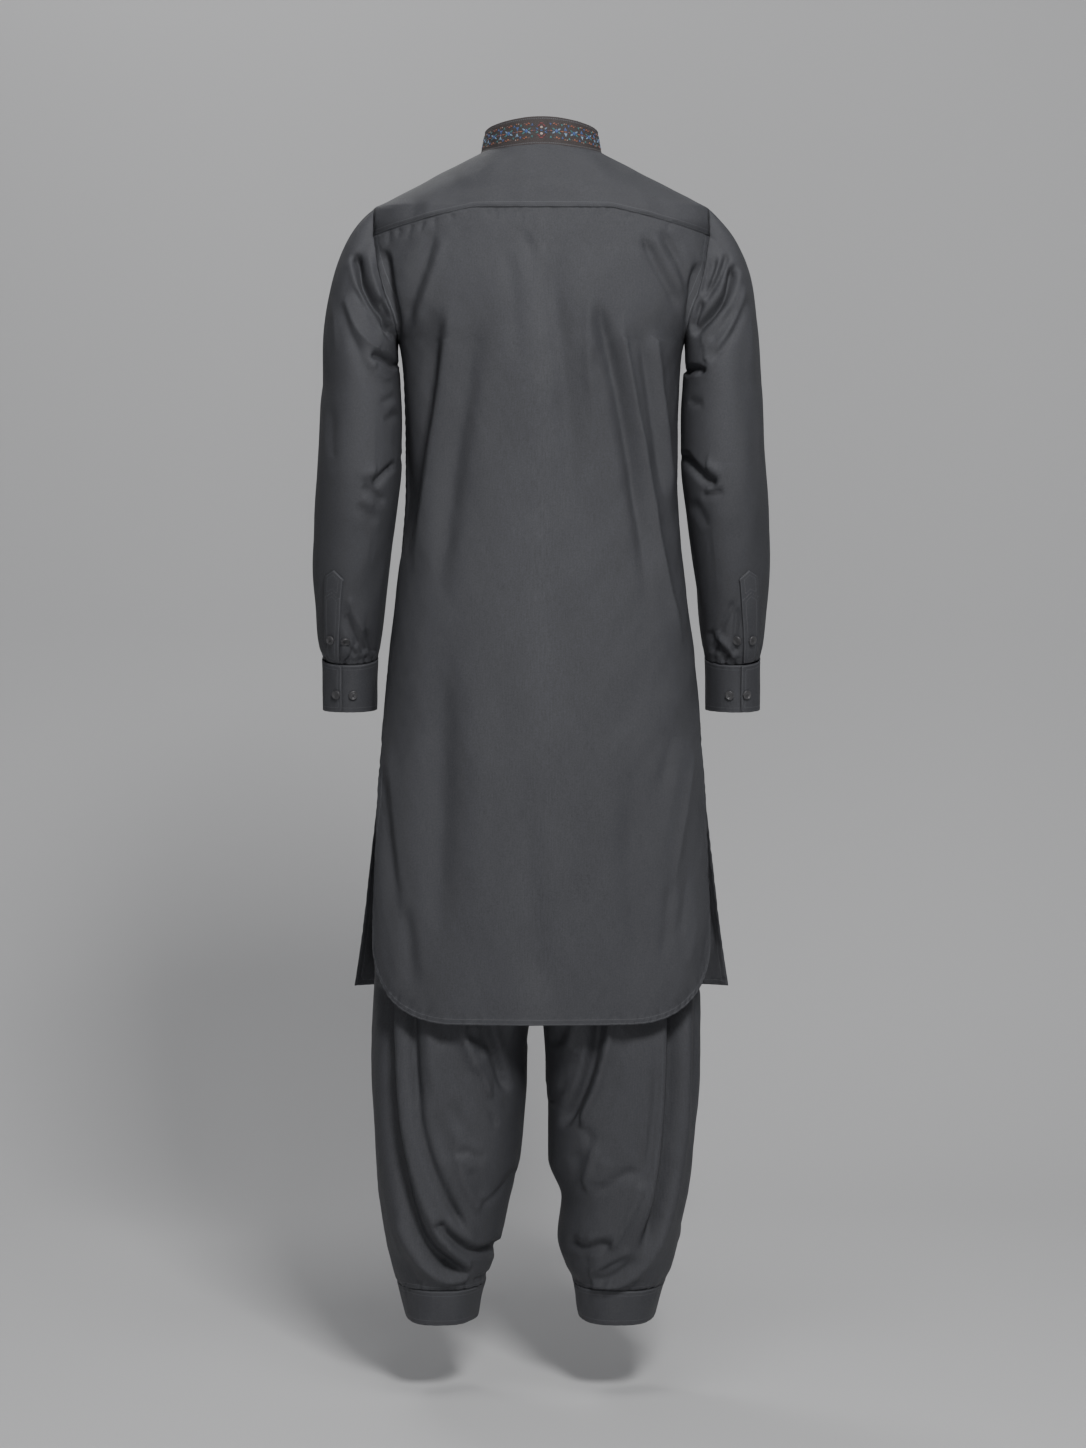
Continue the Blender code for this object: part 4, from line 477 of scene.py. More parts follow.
def panel_surface(across, z, face):
    """Points of a kurta panel. across runs from -1 (wearer's right edge) to 1 (left edge)."""
    corner = YOKE_CORNER_BACK if face == "back" else YOKE_CORNER_FRONT
    level = np.minimum(z, corner)
    power = 2.0 / body_squareness(level)
    edge = edge_angle(level, face)
    x = body_half_width(level, face) * np.sign(across) * np.abs(np.sin(across * edge)) ** power
    squareness = body_squareness(z)
    filled = np.clip(np.abs(x) / body_half_width(z, face), 0.0, 1.0) ** squareness
    y = body_depth(z, face) * np.maximum(1.0 - filled, 0.0) ** (1.0 / squareness)
    if face == "front":
        y = -y
    return np.stack([x, y, z], axis=-1)


def shoulder_height(x, y):
    """Height of the shoulder surface above the plan point x, y."""
    low = np.full(np.shape(x), -0.200)
    high = np.full(np.shape(x), 0.004)
    for step in range(40):
        middle = (low + high) / 2.0
        squareness = body_squareness(middle)
        depth = np.where(y >= 0.0, body_depth(middle, "back"), body_depth(middle, "front"))
        filled = (np.abs(x) / body_half_width(middle, "back")) ** squareness
        filled = filled + (np.abs(y) / depth) ** squareness
        low = np.where(filled > 1.0, low, middle)
        high = np.where(filled > 1.0, middle, high)
    return (low + high) / 2.0


def neck_point(angle_degrees):
    """Neck seam point at an angle from the centre back, positive to the wearer's left."""
    angle = np.radians(np.asarray(angle_degrees, dtype=float))
    x = NECK_HALF_WIDTH * np.sin(angle)
    depth = np.where(np.cos(angle) >= 0.0, NECK_BACK_DEPTH, NECK_FRONT_DEPTH)
    y = depth * np.cos(angle)
    return np.stack([x, y, shoulder_height(x, y)], axis=-1)


def armhole_point(z, face):
    return panel_surface(np.ones(np.shape(z)), np.asarray(z, dtype=float), face)



def grid_normals(points, closed, centre):
    """Unit normals of a grid of points, turned away from the centre points."""
    if closed:
        around = np.roll(points, -1, axis=1) - np.roll(points, 1, axis=1)
    else:
        around = np.gradient(points, axis=1)
    down = np.gradient(points, axis=0)
    normals = np.cross(around, down)
    length = np.linalg.norm(normals, axis=-1, keepdims=True)
    normals = normals / np.maximum(length, 1.0e-12)
    if np.sum(normals * (points - centre)) < 0.0:
        normals = -normals
    return normals


def smooth_step(share):
    share = np.clip(share, 0.0, 1.0)
    return share * share * (3.0 - 2.0 * share)


def seen_from_behind(points):
    """Across and height of points where the eye behind the garment sees them, on the plane y = 0."""
    nearer = EYE_DISTANCE / (EYE_DISTANCE - points[..., 1])
    return points[..., 0] * nearer, EYE_HEIGHT + (points[..., 2] - EYE_HEIGHT) * nearer


def rounded_line(line):
    """The same line with its corners cut once, so a crease bends softly."""
    cut = [line[0]]
    for first, second in zip(line[:-1], line[1:]):
        cut.append(first * 0.75 + second * 0.25)
        cut.append(first * 0.25 + second * 0.75)
    cut.append(line[-1])
    return np.array(cut)


def trace(across, height, line):
    """Distance from a line, length run along it, the side of it, and its whole length."""
    line = line[np.concatenate([[True], np.any(np.abs(np.diff(line, axis=0)) > 1.0e-7, axis=1)])]
    steps = np.diff(line, axis=0)
    lengths = np.hypot(steps[:, 0], steps[:, 1])
    nearest = np.full(across.shape, 1.0e6)
    along = np.zeros(across.shape)
    side = np.zeros(across.shape)
    passed = 0.0
    for start, step, length in zip(line[:-1], steps, lengths):
        away_x = across - start[0]
        away_z = height - start[1]
        part = np.clip((away_x * step[0] + away_z * step[1]) / length ** 2, 0.0, 1.0)
        far = np.hypot(away_x - part * step[0], away_z - part * step[1])
        closer = far < nearest
        along = np.where(closer, passed + part * length, along)
        side = np.where(closer, away_x * step[1] - away_z * step[0], side)
        nearest = np.where(closer, far, nearest)
        passed = passed + length
    return nearest, along, side, passed


def fold_push(across, height, folds):
    """Sum of the pushes of a table of folds."""
    total = np.zeros(across.shape)
    for push, reach_right, reach_left, sharpness, starts, ends, line in folds:
        nearest, along, side, whole = trace(across, height, rounded_line(np.array(line) / 1000.0))
        reach = np.where(side < 0.0, reach_right, reach_left) / 1000.0
        share = along / whole
        fade = smooth_step(share / starts) * smooth_step((1.0 - share) / ends)
        total = total + push / 1000.0 * fade * np.exp(-(nearest / reach) ** sharpness)
    return total


def mirrored(folds, drop):
    """The same folds on the other half of the garment, a little lower or higher."""
    turned = []
    for push, reach_right, reach_left, sharpness, starts, ends, line in folds:
        other = tuple((-x, z - drop) for x, z in line)
        turned.append((push, reach_left, reach_right, sharpness, starts, ends, other))
    return tuple(turned)


def soft_waves(across, height, seed, length, push):
    """Faint uneven hang of the cloth between its folds."""
    chance = np.random.default_rng(seed)
    total = np.zeros(across.shape)
    for count in range(9):
        turn = chance.uniform(-0.9, 0.9)
        size = length * chance.uniform(0.6, 1.7)
        start = chance.uniform(0.0, 6.28)
        bend = 0.25 * np.sin(height / size * 1.7 + start * 2.0)
        total = total + np.sin(6.283 * (across * math.cos(turn) + height * math.sin(turn)) / size + start + bend)
    return total * push / 3.0


def seam_puckers(run, away, seed, whole, spacing, depth, length):
    """Small puckers that start at a seam: run along it, away from it, each of its own size and slant."""
    chance = np.random.default_rng(seed)
    total = np.zeros(np.shape(run))
    place = spacing * 0.5
    while place < whole:
        width = spacing * chance.uniform(0.16, 0.30)
        tall = length * chance.uniform(0.4, 1.4)
        slant = chance.uniform(-0.35, 0.35)
        deep = depth * chance.uniform(0.3, 1.3)
        total = total - deep * np.exp(-((run - place - slant * away) / width) ** 2) * np.exp(-(away / tall) ** 1.6)
        place = place + spacing * chance.uniform(0.65, 1.45)
    return total


def cloth_sheet(name, points, closed, centre, thickness, stitches=None, size=(1.0, 1.0)):
    """A thin cloth shell from a grid of points, with its weave laid out in a UV map as grid shares times size."""
    rows, columns = points.shape[:2]
    around = points[rows // 2, 1] - points[rows // 2, 0]
    down = points[rows // 2 + 1, 0] - points[rows // 2, 0]
    middle = np.broadcast_to(centre, points.shape)[rows // 2, 0]
    facing = np.dot(np.cross(around, down), points[rows // 2, 0] - middle)
    faces = []
    corners = []
    last = columns if closed else columns - 1
    for row in range(rows - 1):
        for column in range(last):
            following = (column + 1) % columns
            quad = ((row, column, column), (row, following, column + 1),
                    (row + 1, following, column + 1), (row + 1, column, column))
            if facing < 0.0:
                quad = quad[::-1]
            faces.append([place[0] * columns + place[1] for place in quad])
            corners.extend((place[2] / (columns - 1), place[0] / (rows - 1)) for place in quad)
    return shell_object(name, points.reshape(-1, 3), faces, np.array(corners) * np.array(size), thickness, stitches)


def shell_object(name, vertices, faces, corners, thickness, stitches):
    mesh = bpy.data.meshes.new(name)
    mesh.from_pydata([tuple(map(float, point)) for point in vertices], [], faces)
    mesh.update()
    layout = mesh.uv_layers.new(name="weave")
    layout.data.foreach_set("uv", corners.astype(np.float32).ravel())
    if stitches is not None:
        for label, values in zip(("seam_gap", "seam_run"), stitches):
            layer = mesh.attributes.new(label, "FLOAT", "POINT")
            layer.data.foreach_set("value", np.asarray(values, dtype=np.float32).ravel())
    mesh.shade_smooth()
    piece = bpy.data.objects.new(name, mesh)
    bpy.context.scene.collection.objects.link(piece)
    wall = piece.modifiers.new("wall", "SOLIDIFY")
    wall.thickness = thickness
    wall.offset = -1.0
    wall.use_rim = True
    return piece


def denser(levels, ends):
    """Heights from a list of (start, stop, step) runs, top to bottom."""
    heights = [np.linspace(start, stop, max(2, int(round((start - stop) / step)) + 1))[:-1]
               for start, stop, step in levels]
    return np.concatenate(heights + [np.array([ends])])


class Reading:
    """A socket of a finish, so that shader maths is written as plain sums."""

    def __init__(self, finish, socket):
        self.finish = finish
        self.socket = socket

    def worked(self, operation, first, second=0.0):
        return self.finish.node("ShaderNodeMath", {"operation": operation}, {0: first, 1: second})

    def __add__(self, other):
        return self.worked("ADD", self, other)

    def __radd__(self, other):
        return self.worked("ADD", other, self)

    def __sub__(self, other):
        return self.worked("SUBTRACT", self, other)

    def __rsub__(self, other):
        return self.worked("SUBTRACT", other, self)

    def __mul__(self, other):
        return self.worked("MULTIPLY", self, other)

    def __rmul__(self, other):
        return self.worked("MULTIPLY", other, self)

    def __truediv__(self, other):
        return self.worked("DIVIDE", self, other)

    def __rtruediv__(self, other):
        return self.worked("DIVIDE", other, self)

    def size(self):
        return self.worked("ABSOLUTE", self)

    def wave(self):
        return self.worked("SINE", self)

    def part(self):
        return self.worked("FRACT", self)

    def below(self, limit):
        return self.worked("LESS_THAN", self, limit)

    def most(self, other):
        return self.worked("MAXIMUM", self, other)


class Finish:
    """One material and its shader."""

    def __init__(self, name):
        self.material = bpy.data.materials.new(name)
        self.material.use_nodes = True
        self.tree = self.material.node_tree
        self.shader = self.tree.nodes["Principled BSDF"]

    def node(self, kind, settings=None, sockets=None, result=0):
        made = self.tree.nodes.new(kind)
        for setting, value in (settings or {}).items():
            setattr(made, setting, value)
        for socket, value in (sockets or {}).items():
            self.put(made.inputs[socket], value)
        return Reading(self, made.outputs[result])

    def put(self, socket, value):
        if isinstance(value, Reading):
            self.tree.links.new(value.socket, socket)
        else:
            socket.default_value = value

    def shade(self, **values):
        for socket, value in values.items():
            self.put(self.shader.inputs[socket.replace("_", " ")], value)

    def ramp(self, share, first, second):
        return self.node("ShaderNodeMix", {"data_type": "RGBA"}, {0: share, 6: first, 7: second}, 2)


def cloth_finish(name, shadow, light, thread, rows=(), pitch=0.0008, relief=0.5):
    """Fine dark suiting: uneven yarns, soft variation, a painted highlight along the edges, and rows of topstitching
    beside the seams.
    """
    finish = Finish(name)
    place = finish.node("ShaderNodeTexCoord", {}, {}, "Object")
    laid = finish.node("ShaderNodeUVMap", {"uv_map": "weave"})
    split = finish.node("ShaderNodeSeparateXYZ", {}, {0: laid})
    across = split
    down = Reading(finish, split.socket.node.outputs[1])
    speck = finish.node("ShaderNodeTexNoise", {}, {"Vector": place, "Scale": 520.0, "Detail": 3.0, "Roughness": 0.7})
    cloud = finish.node("ShaderNodeTexNoise", {}, {"Vector": place, "Scale": 14.0, "Detail": 4.0, "Roughness": 0.6})
    slub = finish.node("ShaderNodeTexNoise", {}, {"Vector": finish.node(
        "ShaderNodeVectorMath", {"operation": "MULTIPLY"}, {0: laid, 1: (900.0, 60.0, 1.0)}), "Scale": 1.0,
        "Detail": 2.0})
    warp = (across * (6.2832 / pitch) + speck * 1.5).wave()
    weft = (down * (6.2832 / pitch) + speck * 1.5).wave()
    weave = warp * weft
    tone = speck * 0.9 + cloud * 0.25 + slub * 0.45 - 0.40 + weave * 0.07
    colour = finish.ramp(tone, shadow, light)
    height = weave * 0.35 + speck * 0.5 + slub * 0.3
    if rows:
        gap = finish.node("ShaderNodeAttribute", {"attribute_name": "seam_gap"}, {}, "Fac")
        run = finish.node("ShaderNodeAttribute", {"attribute_name": "seam_run"}, {}, "Fac")
        dash = (run / 0.0027).part().below(0.76)
        near = (gap - rows[0]).size().below(0.00032)
        groove = 1.0 / (1.0 + ((gap - rows[0]) * 900.0) * ((gap - rows[0]) * 900.0))
        for row in rows[1:]:
            near = near.most((gap - row).size().below(0.00032))
            groove = groove + 1.0 / (1.0 + ((gap - row) * 900.0) * ((gap - row) * 900.0))
        sewn = near * dash
        # Painted highlight: the last 0.9 mm by every edge is lightened towards the light cloth colour, as if the
        # rolled edge caught the light.
        painted_edge_highlight = gap.below(0.0009)
        colour = finish.ramp(painted_edge_highlight * 0.12, colour, light)
        colour = finish.ramp(sewn * 0.6, colour, thread)
        height = height + sewn * 1.2 - groove * 0.9
    bump = finish.node("ShaderNodeBump", {}, {"Strength": relief, "Distance": 0.0004, "Height": height})
    finish.shade(Base_Color=colour, Roughness=0.60 + cloud * 0.08 + speck * 0.06, Normal=bump)
    finish.shade(Specular_IOR_Level=0.45)
    return finish.material


def thread_finish():
    """Embroidery thread: its colour comes from the motif, with fine satin strands."""
    finish = Finish("embroidery_thread")
    place = finish.node("ShaderNodeTexCoord", {}, {}, "Object")
    dyed = finish.node("ShaderNodeAttribute", {"attribute_name": "thread_colour"}, {}, "Color")
    stretched = finish.node("ShaderNodeVectorMath", {"operation": "MULTIPLY"}, {0: place, 1: (1.0, 1.0, 3.2)})
    strand = finish.node("ShaderNodeTexNoise", {}, {"Vector": stretched, "Scale": 1500.0, "Detail": 2.0})
    colour = finish.ramp(strand * 0.65, dyed, (0.03, 0.027, 0.03, 1.0))
    bump = finish.node("ShaderNodeBump", {}, {"Strength": 0.5, "Distance": 0.0003, "Height": strand})
    finish.shade(Base_Color=colour, Roughness=0.48 + strand * 0.2, Normal=bump)
    finish.shade(Sheen_Weight=0.2, Specular_IOR_Level=0.4)
    return finish.material


def button_finish(name, shadow, light, roughness):
    """Polished dark button with faint swirls."""
    finish = Finish(name)
    place = finish.node("ShaderNodeTexCoord", {}, {}, "Object")
    swirl = finish.node("ShaderNodeTexNoise", {}, {"Vector": place, "Scale": 240.0, "Detail": 4.0, "Distortion": 2.0})
    fine = finish.node("ShaderNodeTexNoise", {}, {"Vector": place, "Scale": 1400.0, "Detail": 2.0})
    bump = finish.node("ShaderNodeBump", {}, {"Strength": 0.12, "Distance": 0.0002, "Height": fine})
    finish.shade(Base_Color=finish.ramp(swirl, shadow, light), Roughness=roughness + fine * 0.12, Normal=bump)
    finish.shade(Specular_IOR_Level=0.5)
    return finish.material


SHADOW = (0.027, 0.0275, 0.0315, 1.0)
LIGHT = (0.075, 0.0765, 0.0855, 1.0)
THREAD = (0.118, 0.120, 0.130, 1.0)
body_cloth = cloth_finish("charcoal_cloth", SHADOW, LIGHT, THREAD, (0.0016, 0.0068))
band_cloth = cloth_finish("charcoal_band", SHADOW, LIGHT, THREAD, (0.0016, 0.0062), relief=0.4)
collar_cloth = cloth_finish("collar_ground", (0.024, 0.020, 0.020, 1.0), (0.070, 0.056, 0.054, 1.0), THREAD,
                            (0.0022, 0.0030), pitch=0.0007, relief=0.6)
embroidery = thread_finish()
button_face = button_finish("button_dark", (0.030, 0.030, 0.033, 1.0), (0.085, 0.083, 0.086, 1.0), 0.26)
button_thread = button_finish("button_thread", (0.020, 0.020, 0.022, 1.0), (0.060, 0.060, 0.064, 1.0), 0.75)


def laid_out(points, closed):
    """Flat place of each grid point in metres: along its row, and down from the top row."""
    ring = np.concatenate([points, points[:, :1]], axis=1) if closed else points
    around = np.cumsum(np.linalg.norm(np.diff(ring, axis=1), axis=-1), axis=1)
    around = np.concatenate([np.zeros((len(ring), 1)), around], axis=1)
    around = around - around[:, -1:] / 2.0
    down = np.cumsum(np.linalg.norm(np.diff(ring, axis=0), axis=-1), axis=0)
    down = np.concatenate([np.zeros((1, ring.shape[1])), down], axis=0)
    return around, down


def kept(piece, material, *nodes):
    """Give a finished piece its material, let it ride, and let it stand for its CAD nodes."""
    piece.data.materials.append(material)
    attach(piece, "root")
    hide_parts(*nodes)
    return piece


# Kurta back panel: how much of the yoke seam's slope and of the curved hem each height takes.
BLEND_COLUMNS = ("z", "top", "bottom")
BACK_BLEND = (
    (-0.1150, 1.00, 0.00),
    (-0.1460, 0.70, 0.00),
    (-0.1770, 0.42, 0.00),
    (-0.2080, 0.20, 0.00),
    (-0.2360, 0.06, 0.00),
    (-0.2500, 0.00, 0.00),
    (-0.7380, 0.00, 0.00),
    (-0.8000, 0.00, 0.06),
    (-0.8800, 0.00, 0.20),
    (-0.9600, 0.00, 0.42),
    (-1.0300, 0.00, 0.70),
    (BACK_HEM, 0.00, 1.00),
)
FRONT_BLEND = (
    (-0.0950, 1.00, 0.00),
    (-0.1130, 0.86, 0.00),
    (-0.1400, 0.62, 0.00),
    (-0.1700, 0.40, 0.00),
    (-0.2000, 0.20, 0.00),
    (-0.2300, 0.05, 0.00),
    (-0.2500, 0.00, 0.00),
    (FRONT_HEM, 0.00, 0.00),
)
YOKE_SEAM_X = (0.000, 0.087, 0.128, 0.170, 0.212)
YOKE_SEAM_Z = (-0.083, -0.083, -0.092, -0.103, -0.115)


def soft_edge(across, width):
    """One in the middle of a panel, falling to nothing at its side edges."""
    return 1.0 - np.abs(across) ** width


def yoke_outline(columns_back, columns_side):
    """Outer edge of the yoke's left half: back seam, then over the shoulder to the front corner."""
    part = np.linspace(0.0, 1.0, columns_back + 1)
    corner = armhole_point(YOKE_CORNER_BACK, "back")
    x = part * corner[0]
    z = np.interp(x, YOKE_SEAM_X, YOKE_SEAM_Z)
    squareness = body_squareness(z)
    filled = (x / body_half_width(z, "back")) ** squareness
    y = body_depth(z, "back") * (1.0 - filled) ** (1.0 / squareness)
    back = np.stack([x, y, z], axis=-1)
    half = columns_side // 2
    rise = np.sin(np.linspace(0.0, math.pi / 2.0, half + 1))[1:]
    up = armhole_point(YOKE_CORNER_BACK + (ARMHOLE_TOP - YOKE_CORNER_BACK) * rise, "back")
    fall = np.cos(np.linspace(0.0, math.pi / 2.0, columns_side - half + 1))[1:]
    down = armhole_point(YOKE_CORNER_FRONT + (ARMHOLE_TOP - YOKE_CORNER_FRONT) * fall, "front")
    return np.concatenate([back, up, down])


half_outline = yoke_outline(64, 34)
half_angles = np.concatenate([np.linspace(0.0, 78.0, 65), np.linspace(78.0, YOKE_FRONT_ANGLE, 35)[1:]])
half_neck = neck_point(half_angles)
seam_part = np.linspace(0.0, 1.0, 24)[:, None]
front_seam_plan = half_neck[-1] * (1.0 - seam_part) + half_outline[-1] * seam_part
front_seam_z = shoulder_height(front_seam_plan[:, 0], front_seam_plan[:, 1])
neck_sweep = neck_point(np.linspace(180.0, YOKE_FRONT_ANGLE, 30)[:-1])
right_half = np.concatenate([
    np.stack([neck_sweep[:, 0], neck_sweep[:, 2]], axis=-1),
    np.stack([front_seam_plan[:, 0], front_seam_z], axis=-1),
])
front_top_line = np.concatenate([right_half[:0:-1] * np.array([-1.0, 1.0]), right_half])
back_yoke_seam = np.array([(-x, z) for x, z in zip(YOKE_SEAM_X[:0:-1], YOKE_SEAM_Z[:0:-1])]
                          + list(zip(YOKE_SEAM_X, YOKE_SEAM_Z)))


def panel_grid(face, across, level, blend, seam):
    """Grid of a kurta panel between its top seam and its hem."""
    top_x = panel_surface(across, np.full(len(across), level[0]), face)[:, 0]
    top_z = np.interp(top_x, seam[:, 0], seam[:, 1])
    bottom_z = np.full(len(across), level[-1])
    if face == "back":
        edge_x = abs(panel_surface(np.ones(1), np.array([-1.0]), face)[0, 0])
        hem_x = np.abs(panel_surface(across, np.full(len(across), level[-1]), face)[:, 0])
        part = np.clip((hem_x - edge_x + HEM_CORNER_WIDTH) / HEM_CORNER_WIDTH, 0.0, 1.0)
        bottom_z = level[-1] + HEM_CORNER_HEIGHT * (1.0 - (1.0 - part ** 2.5) ** 0.4)
    top_weight = smooth_lookup(blend, BLEND_COLUMNS, "top", level)
    bottom_weight = smooth_lookup(blend, BLEND_COLUMNS, "bottom", level)
    z = level[:, None] + top_weight[:, None] * (top_z - level[0])[None, :]
    z = z + bottom_weight[:, None] * (bottom_z - level[-1])[None, :]
    return panel_surface(np.broadcast_to(across, z.shape), z, face)


def panel_edges(around, down, from_row):
    """Distance from a panel's side and bottom edges, and the run along them."""
    left = np.stack([around[from_row:, 0], down[from_row:, 0]], axis=-1)[::3]
    foot = np.stack([around[-1], down[-1]], axis=-1)[::3]
    right = np.stack([around[from_row:, -1], down[from_row:, -1]], axis=-1)[::-3]
    nearest, run, side, whole = trace(around, down, np.concatenate([left, foot, right]))
    return nearest, run, whole


def panel_shift(flat, face, across_share, folds, seed):
    """Push of every point of a kurta panel: folds, faint hang, hem roll and its rope-like puckers."""
    around, down = laid_out(flat, False)
    seen = flat if face == "back" else flat * np.array([1.0, -1.0, 1.0])
    across, height = seen_from_behind(seen)
    push = fold_push(across, height, folds) * 1.35
    push = push + soft_waves(around, down, seed, 0.085, 0.0007) + soft_waves(around, down, seed + 1, 0.03, 0.00022)
    push = push * soft_edge(across_share, 26)[None, :] * smooth_step(down / 0.0035)
    gap, run, whole = panel_edges(around, down, 0)
    hemmed = smooth_step((SLIT_TOP + 0.02 - flat[..., 2]) / 0.02)
    rolled = hemmed * smooth_step((0.0082 - gap) / 0.0012)
    push = push + 0.0008 * rolled
    rope = 0.5 + 0.5 * np.sin(6.283 * (run + 0.7 * gap) / 0.0105 + 1.3 * np.sin(run * 37.0))
    push = push - 0.0009 * rope * rolled * smooth_step(gap / 0.002)
    push = push + seam_puckers(run, np.maximum(gap - 0.007, 0.0), seed, whole, 0.0135, 0.0009, 0.009) * hemmed
    sewn = (1.0 - hemmed) * smooth_step((0.012 - gap) / 0.004)
    push = push - 0.0006 * sewn * (0.5 + 0.5 * np.sin(6.283 * run / 0.0135 + np.sin(run * 50.0)))
    return push, gap, run


back_share = np.linspace(-1.0, 1.0, 207)
back_share = np.sign(back_share) * np.abs(back_share) ** 0.92
back_level = denser(((-0.1150, -0.1500, 0.0017), (-0.1500, -0.3600, 0.0042), (-0.3600, -1.0700, 0.0060),
                     (-1.0700, BACK_HEM, 0.0018)), BACK_HEM)
back_flat = panel_grid("back", back_share, back_level, BACK_BLEND, back_yoke_seam)
back_axis = back_flat * np.array([0.0, 0.0, 1.0])
back_normals = grid_normals(back_flat, False, back_axis)
back_shift, back_gap, back_run = panel_shift(back_flat, "back", back_share, BACK_FOLDS, 11)
back_points = back_flat + back_normals * back_shift[..., None]
back_points[0, :, 2] += 0.0008
back_points[0] -= back_normals[0] * 0.0009
kurta_back = kept(cloth_sheet("kurta_back_cloth", back_points, False, back_axis, CLOTH_SHELL, (back_gap, back_run)),
                  body_cloth, "kurta_back")

front_half = np.linspace(0.0, 1.0, 69) ** 0.92
front_share = np.concatenate([-front_half[:0:-1], front_half])
front_level = denser(((-0.0950, -0.1300, 0.0030), (-0.1300, -1.0600, 0.0072), (-1.0600, FRONT_HEM, 0.0018)),
                     FRONT_HEM)
front_flat = panel_grid("front", front_share, front_level, FRONT_BLEND, front_top_line)
front_axis = front_flat * np.array([0.0, 0.0, 1.0])
front_normals = grid_normals(front_flat, False, front_axis)
front_shift, front_gap, front_run = panel_shift(front_flat, "front", front_share, FRONT_FOLDS, 23)
front_points = front_flat + front_normals * front_shift[..., None]
front_points[0] -= front_normals[0] * 0.0009
kurta_front = kept(cloth_sheet("kurta_front_cloth", front_points, False, front_axis, CLOTH_SHELL,
                               (front_gap, front_run)), body_cloth, "kurta_front")

# Yoke: plan points between the neck seam and the outer edge, laid on the shoulder surface.
yoke_rows = []
for part in np.linspace(0.0, 1.0, 40):
    plan = half_neck * (1.0 - part) + half_outline * part
    height = shoulder_height(plan[:, 0], plan[:, 1])
    if part == 1.0:
        height = half_outline[:, 2]
    left = np.stack([plan[:, 0], plan[:, 1], height], axis=-1)
    yoke_rows.append(np.concatenate([left[:0:-1] * np.array([-1.0, 1.0, 1.0]), left]))
yoke_flat = np.array(yoke_rows)
yoke_centre = yoke_flat * np.array([0.6, 0.0, 0.0]) + np.array([0.0, 0.0, -0.20])
yoke_normals = grid_normals(yoke_flat, False, yoke_centre)
yoke_around, yoke_down = laid_out(yoke_flat, False)
yoke_away = yoke_down[-1:] - yoke_down
yoke_edge_run = np.broadcast_to(yoke_around[-1:], yoke_around.shape)
yoke_seen = seen_from_behind(yoke_flat)
yoke_shift = fold_push(yoke_seen[0], yoke_seen[1], YOKE_FOLDS) * smooth_step(yoke_away / 0.006)
yoke_shift = yoke_shift + soft_waves(yoke_flat[..., 0], yoke_flat[..., 1], 5, 0.06, 0.0006)
yoke_shift = yoke_shift * smooth_step(yoke_down / 0.01) * smooth_step(yoke_away / 0.004)
yoke_shift = yoke_shift + 0.0003 * smooth_step((0.0085 - yoke_away) / 0.0020)
yoke_shift = yoke_shift + seam_puckers(yoke_edge_run + 0.45, yoke_away, 8, 0.9, 0.0125, 0.0007, 0.007)
yoke_points = yoke_flat + yoke_normals * yoke_shift[..., None]
kurta_yoke = kept(cloth_sheet("kurta_yoke_cloth", yoke_points, False, yoke_centre, CLOTH_SHELL,
                              (yoke_away, yoke_edge_run)), body_cloth, "kurta_yoke")

# Collar band, with a ribbed edge above and below its embroidered strip.
collar_angles = np.linspace(-177.6, 177.6, 281)
collar_base = neck_point(collar_angles)
side_part = np.abs(np.sin(np.radians(collar_angles)))
collar_lift = COLLAR_HEIGHT - 0.006 * side_part ** 4
end_part = np.clip((np.abs(collar_angles) - 163.0) / 14.6, 0.0, 1.0)
collar_lift = collar_lift - 0.006 * (1.0 - np.sqrt(1.0 - end_part ** 2))
collar_rows = []
for part in np.linspace(-0.05, 1.0, 26):
    scale = 1.0 - (1.0 - COLLAR_LEAN) * part
    row = collar_base * np.array([scale, scale, 1.0])
    row[:, 2] = row[:, 2] + 0.0002 + collar_lift * part
    row[:, 1] = row[:, 1] - 0.004 * part * side_part
    collar_rows.append(row)
collar_flat = np.array(collar_rows)
collar_axis = collar_flat * np.array([0.0, 0.0, 1.0])
collar_normals = grid_normals(collar_flat, False, collar_axis)
collar_around, collar_up = laid_out(collar_flat, False)
collar_edge = np.minimum(collar_up, collar_up[-1:] - collar_up)
collar_shift = 0.0005 * np.exp(-((collar_edge - 0.0012) / 0.0010) ** 2)
collar_shift = collar_shift + soft_waves(collar_around, collar_up, 31, 0.035, 0.00025)
collar_points = collar_flat + collar_normals * collar_shift[..., None]
collar_band = kept(cloth_sheet("collar_cloth", collar_points, False, collar_axis, BAND_SHELL,
                               (collar_edge, collar_around)), collar_cloth, "collar_band")

# Sleeves: a fan from the armhole to the upper arm, then rings square to the arm.
SLEEVE_AROUND = 132
SLEEVE_FAN = 66
SLEEVE_LEVELS = denser(((-0.3000, -0.5900, 0.0036), (-0.5900, -0.6450, 0.0022)), -0.6450)


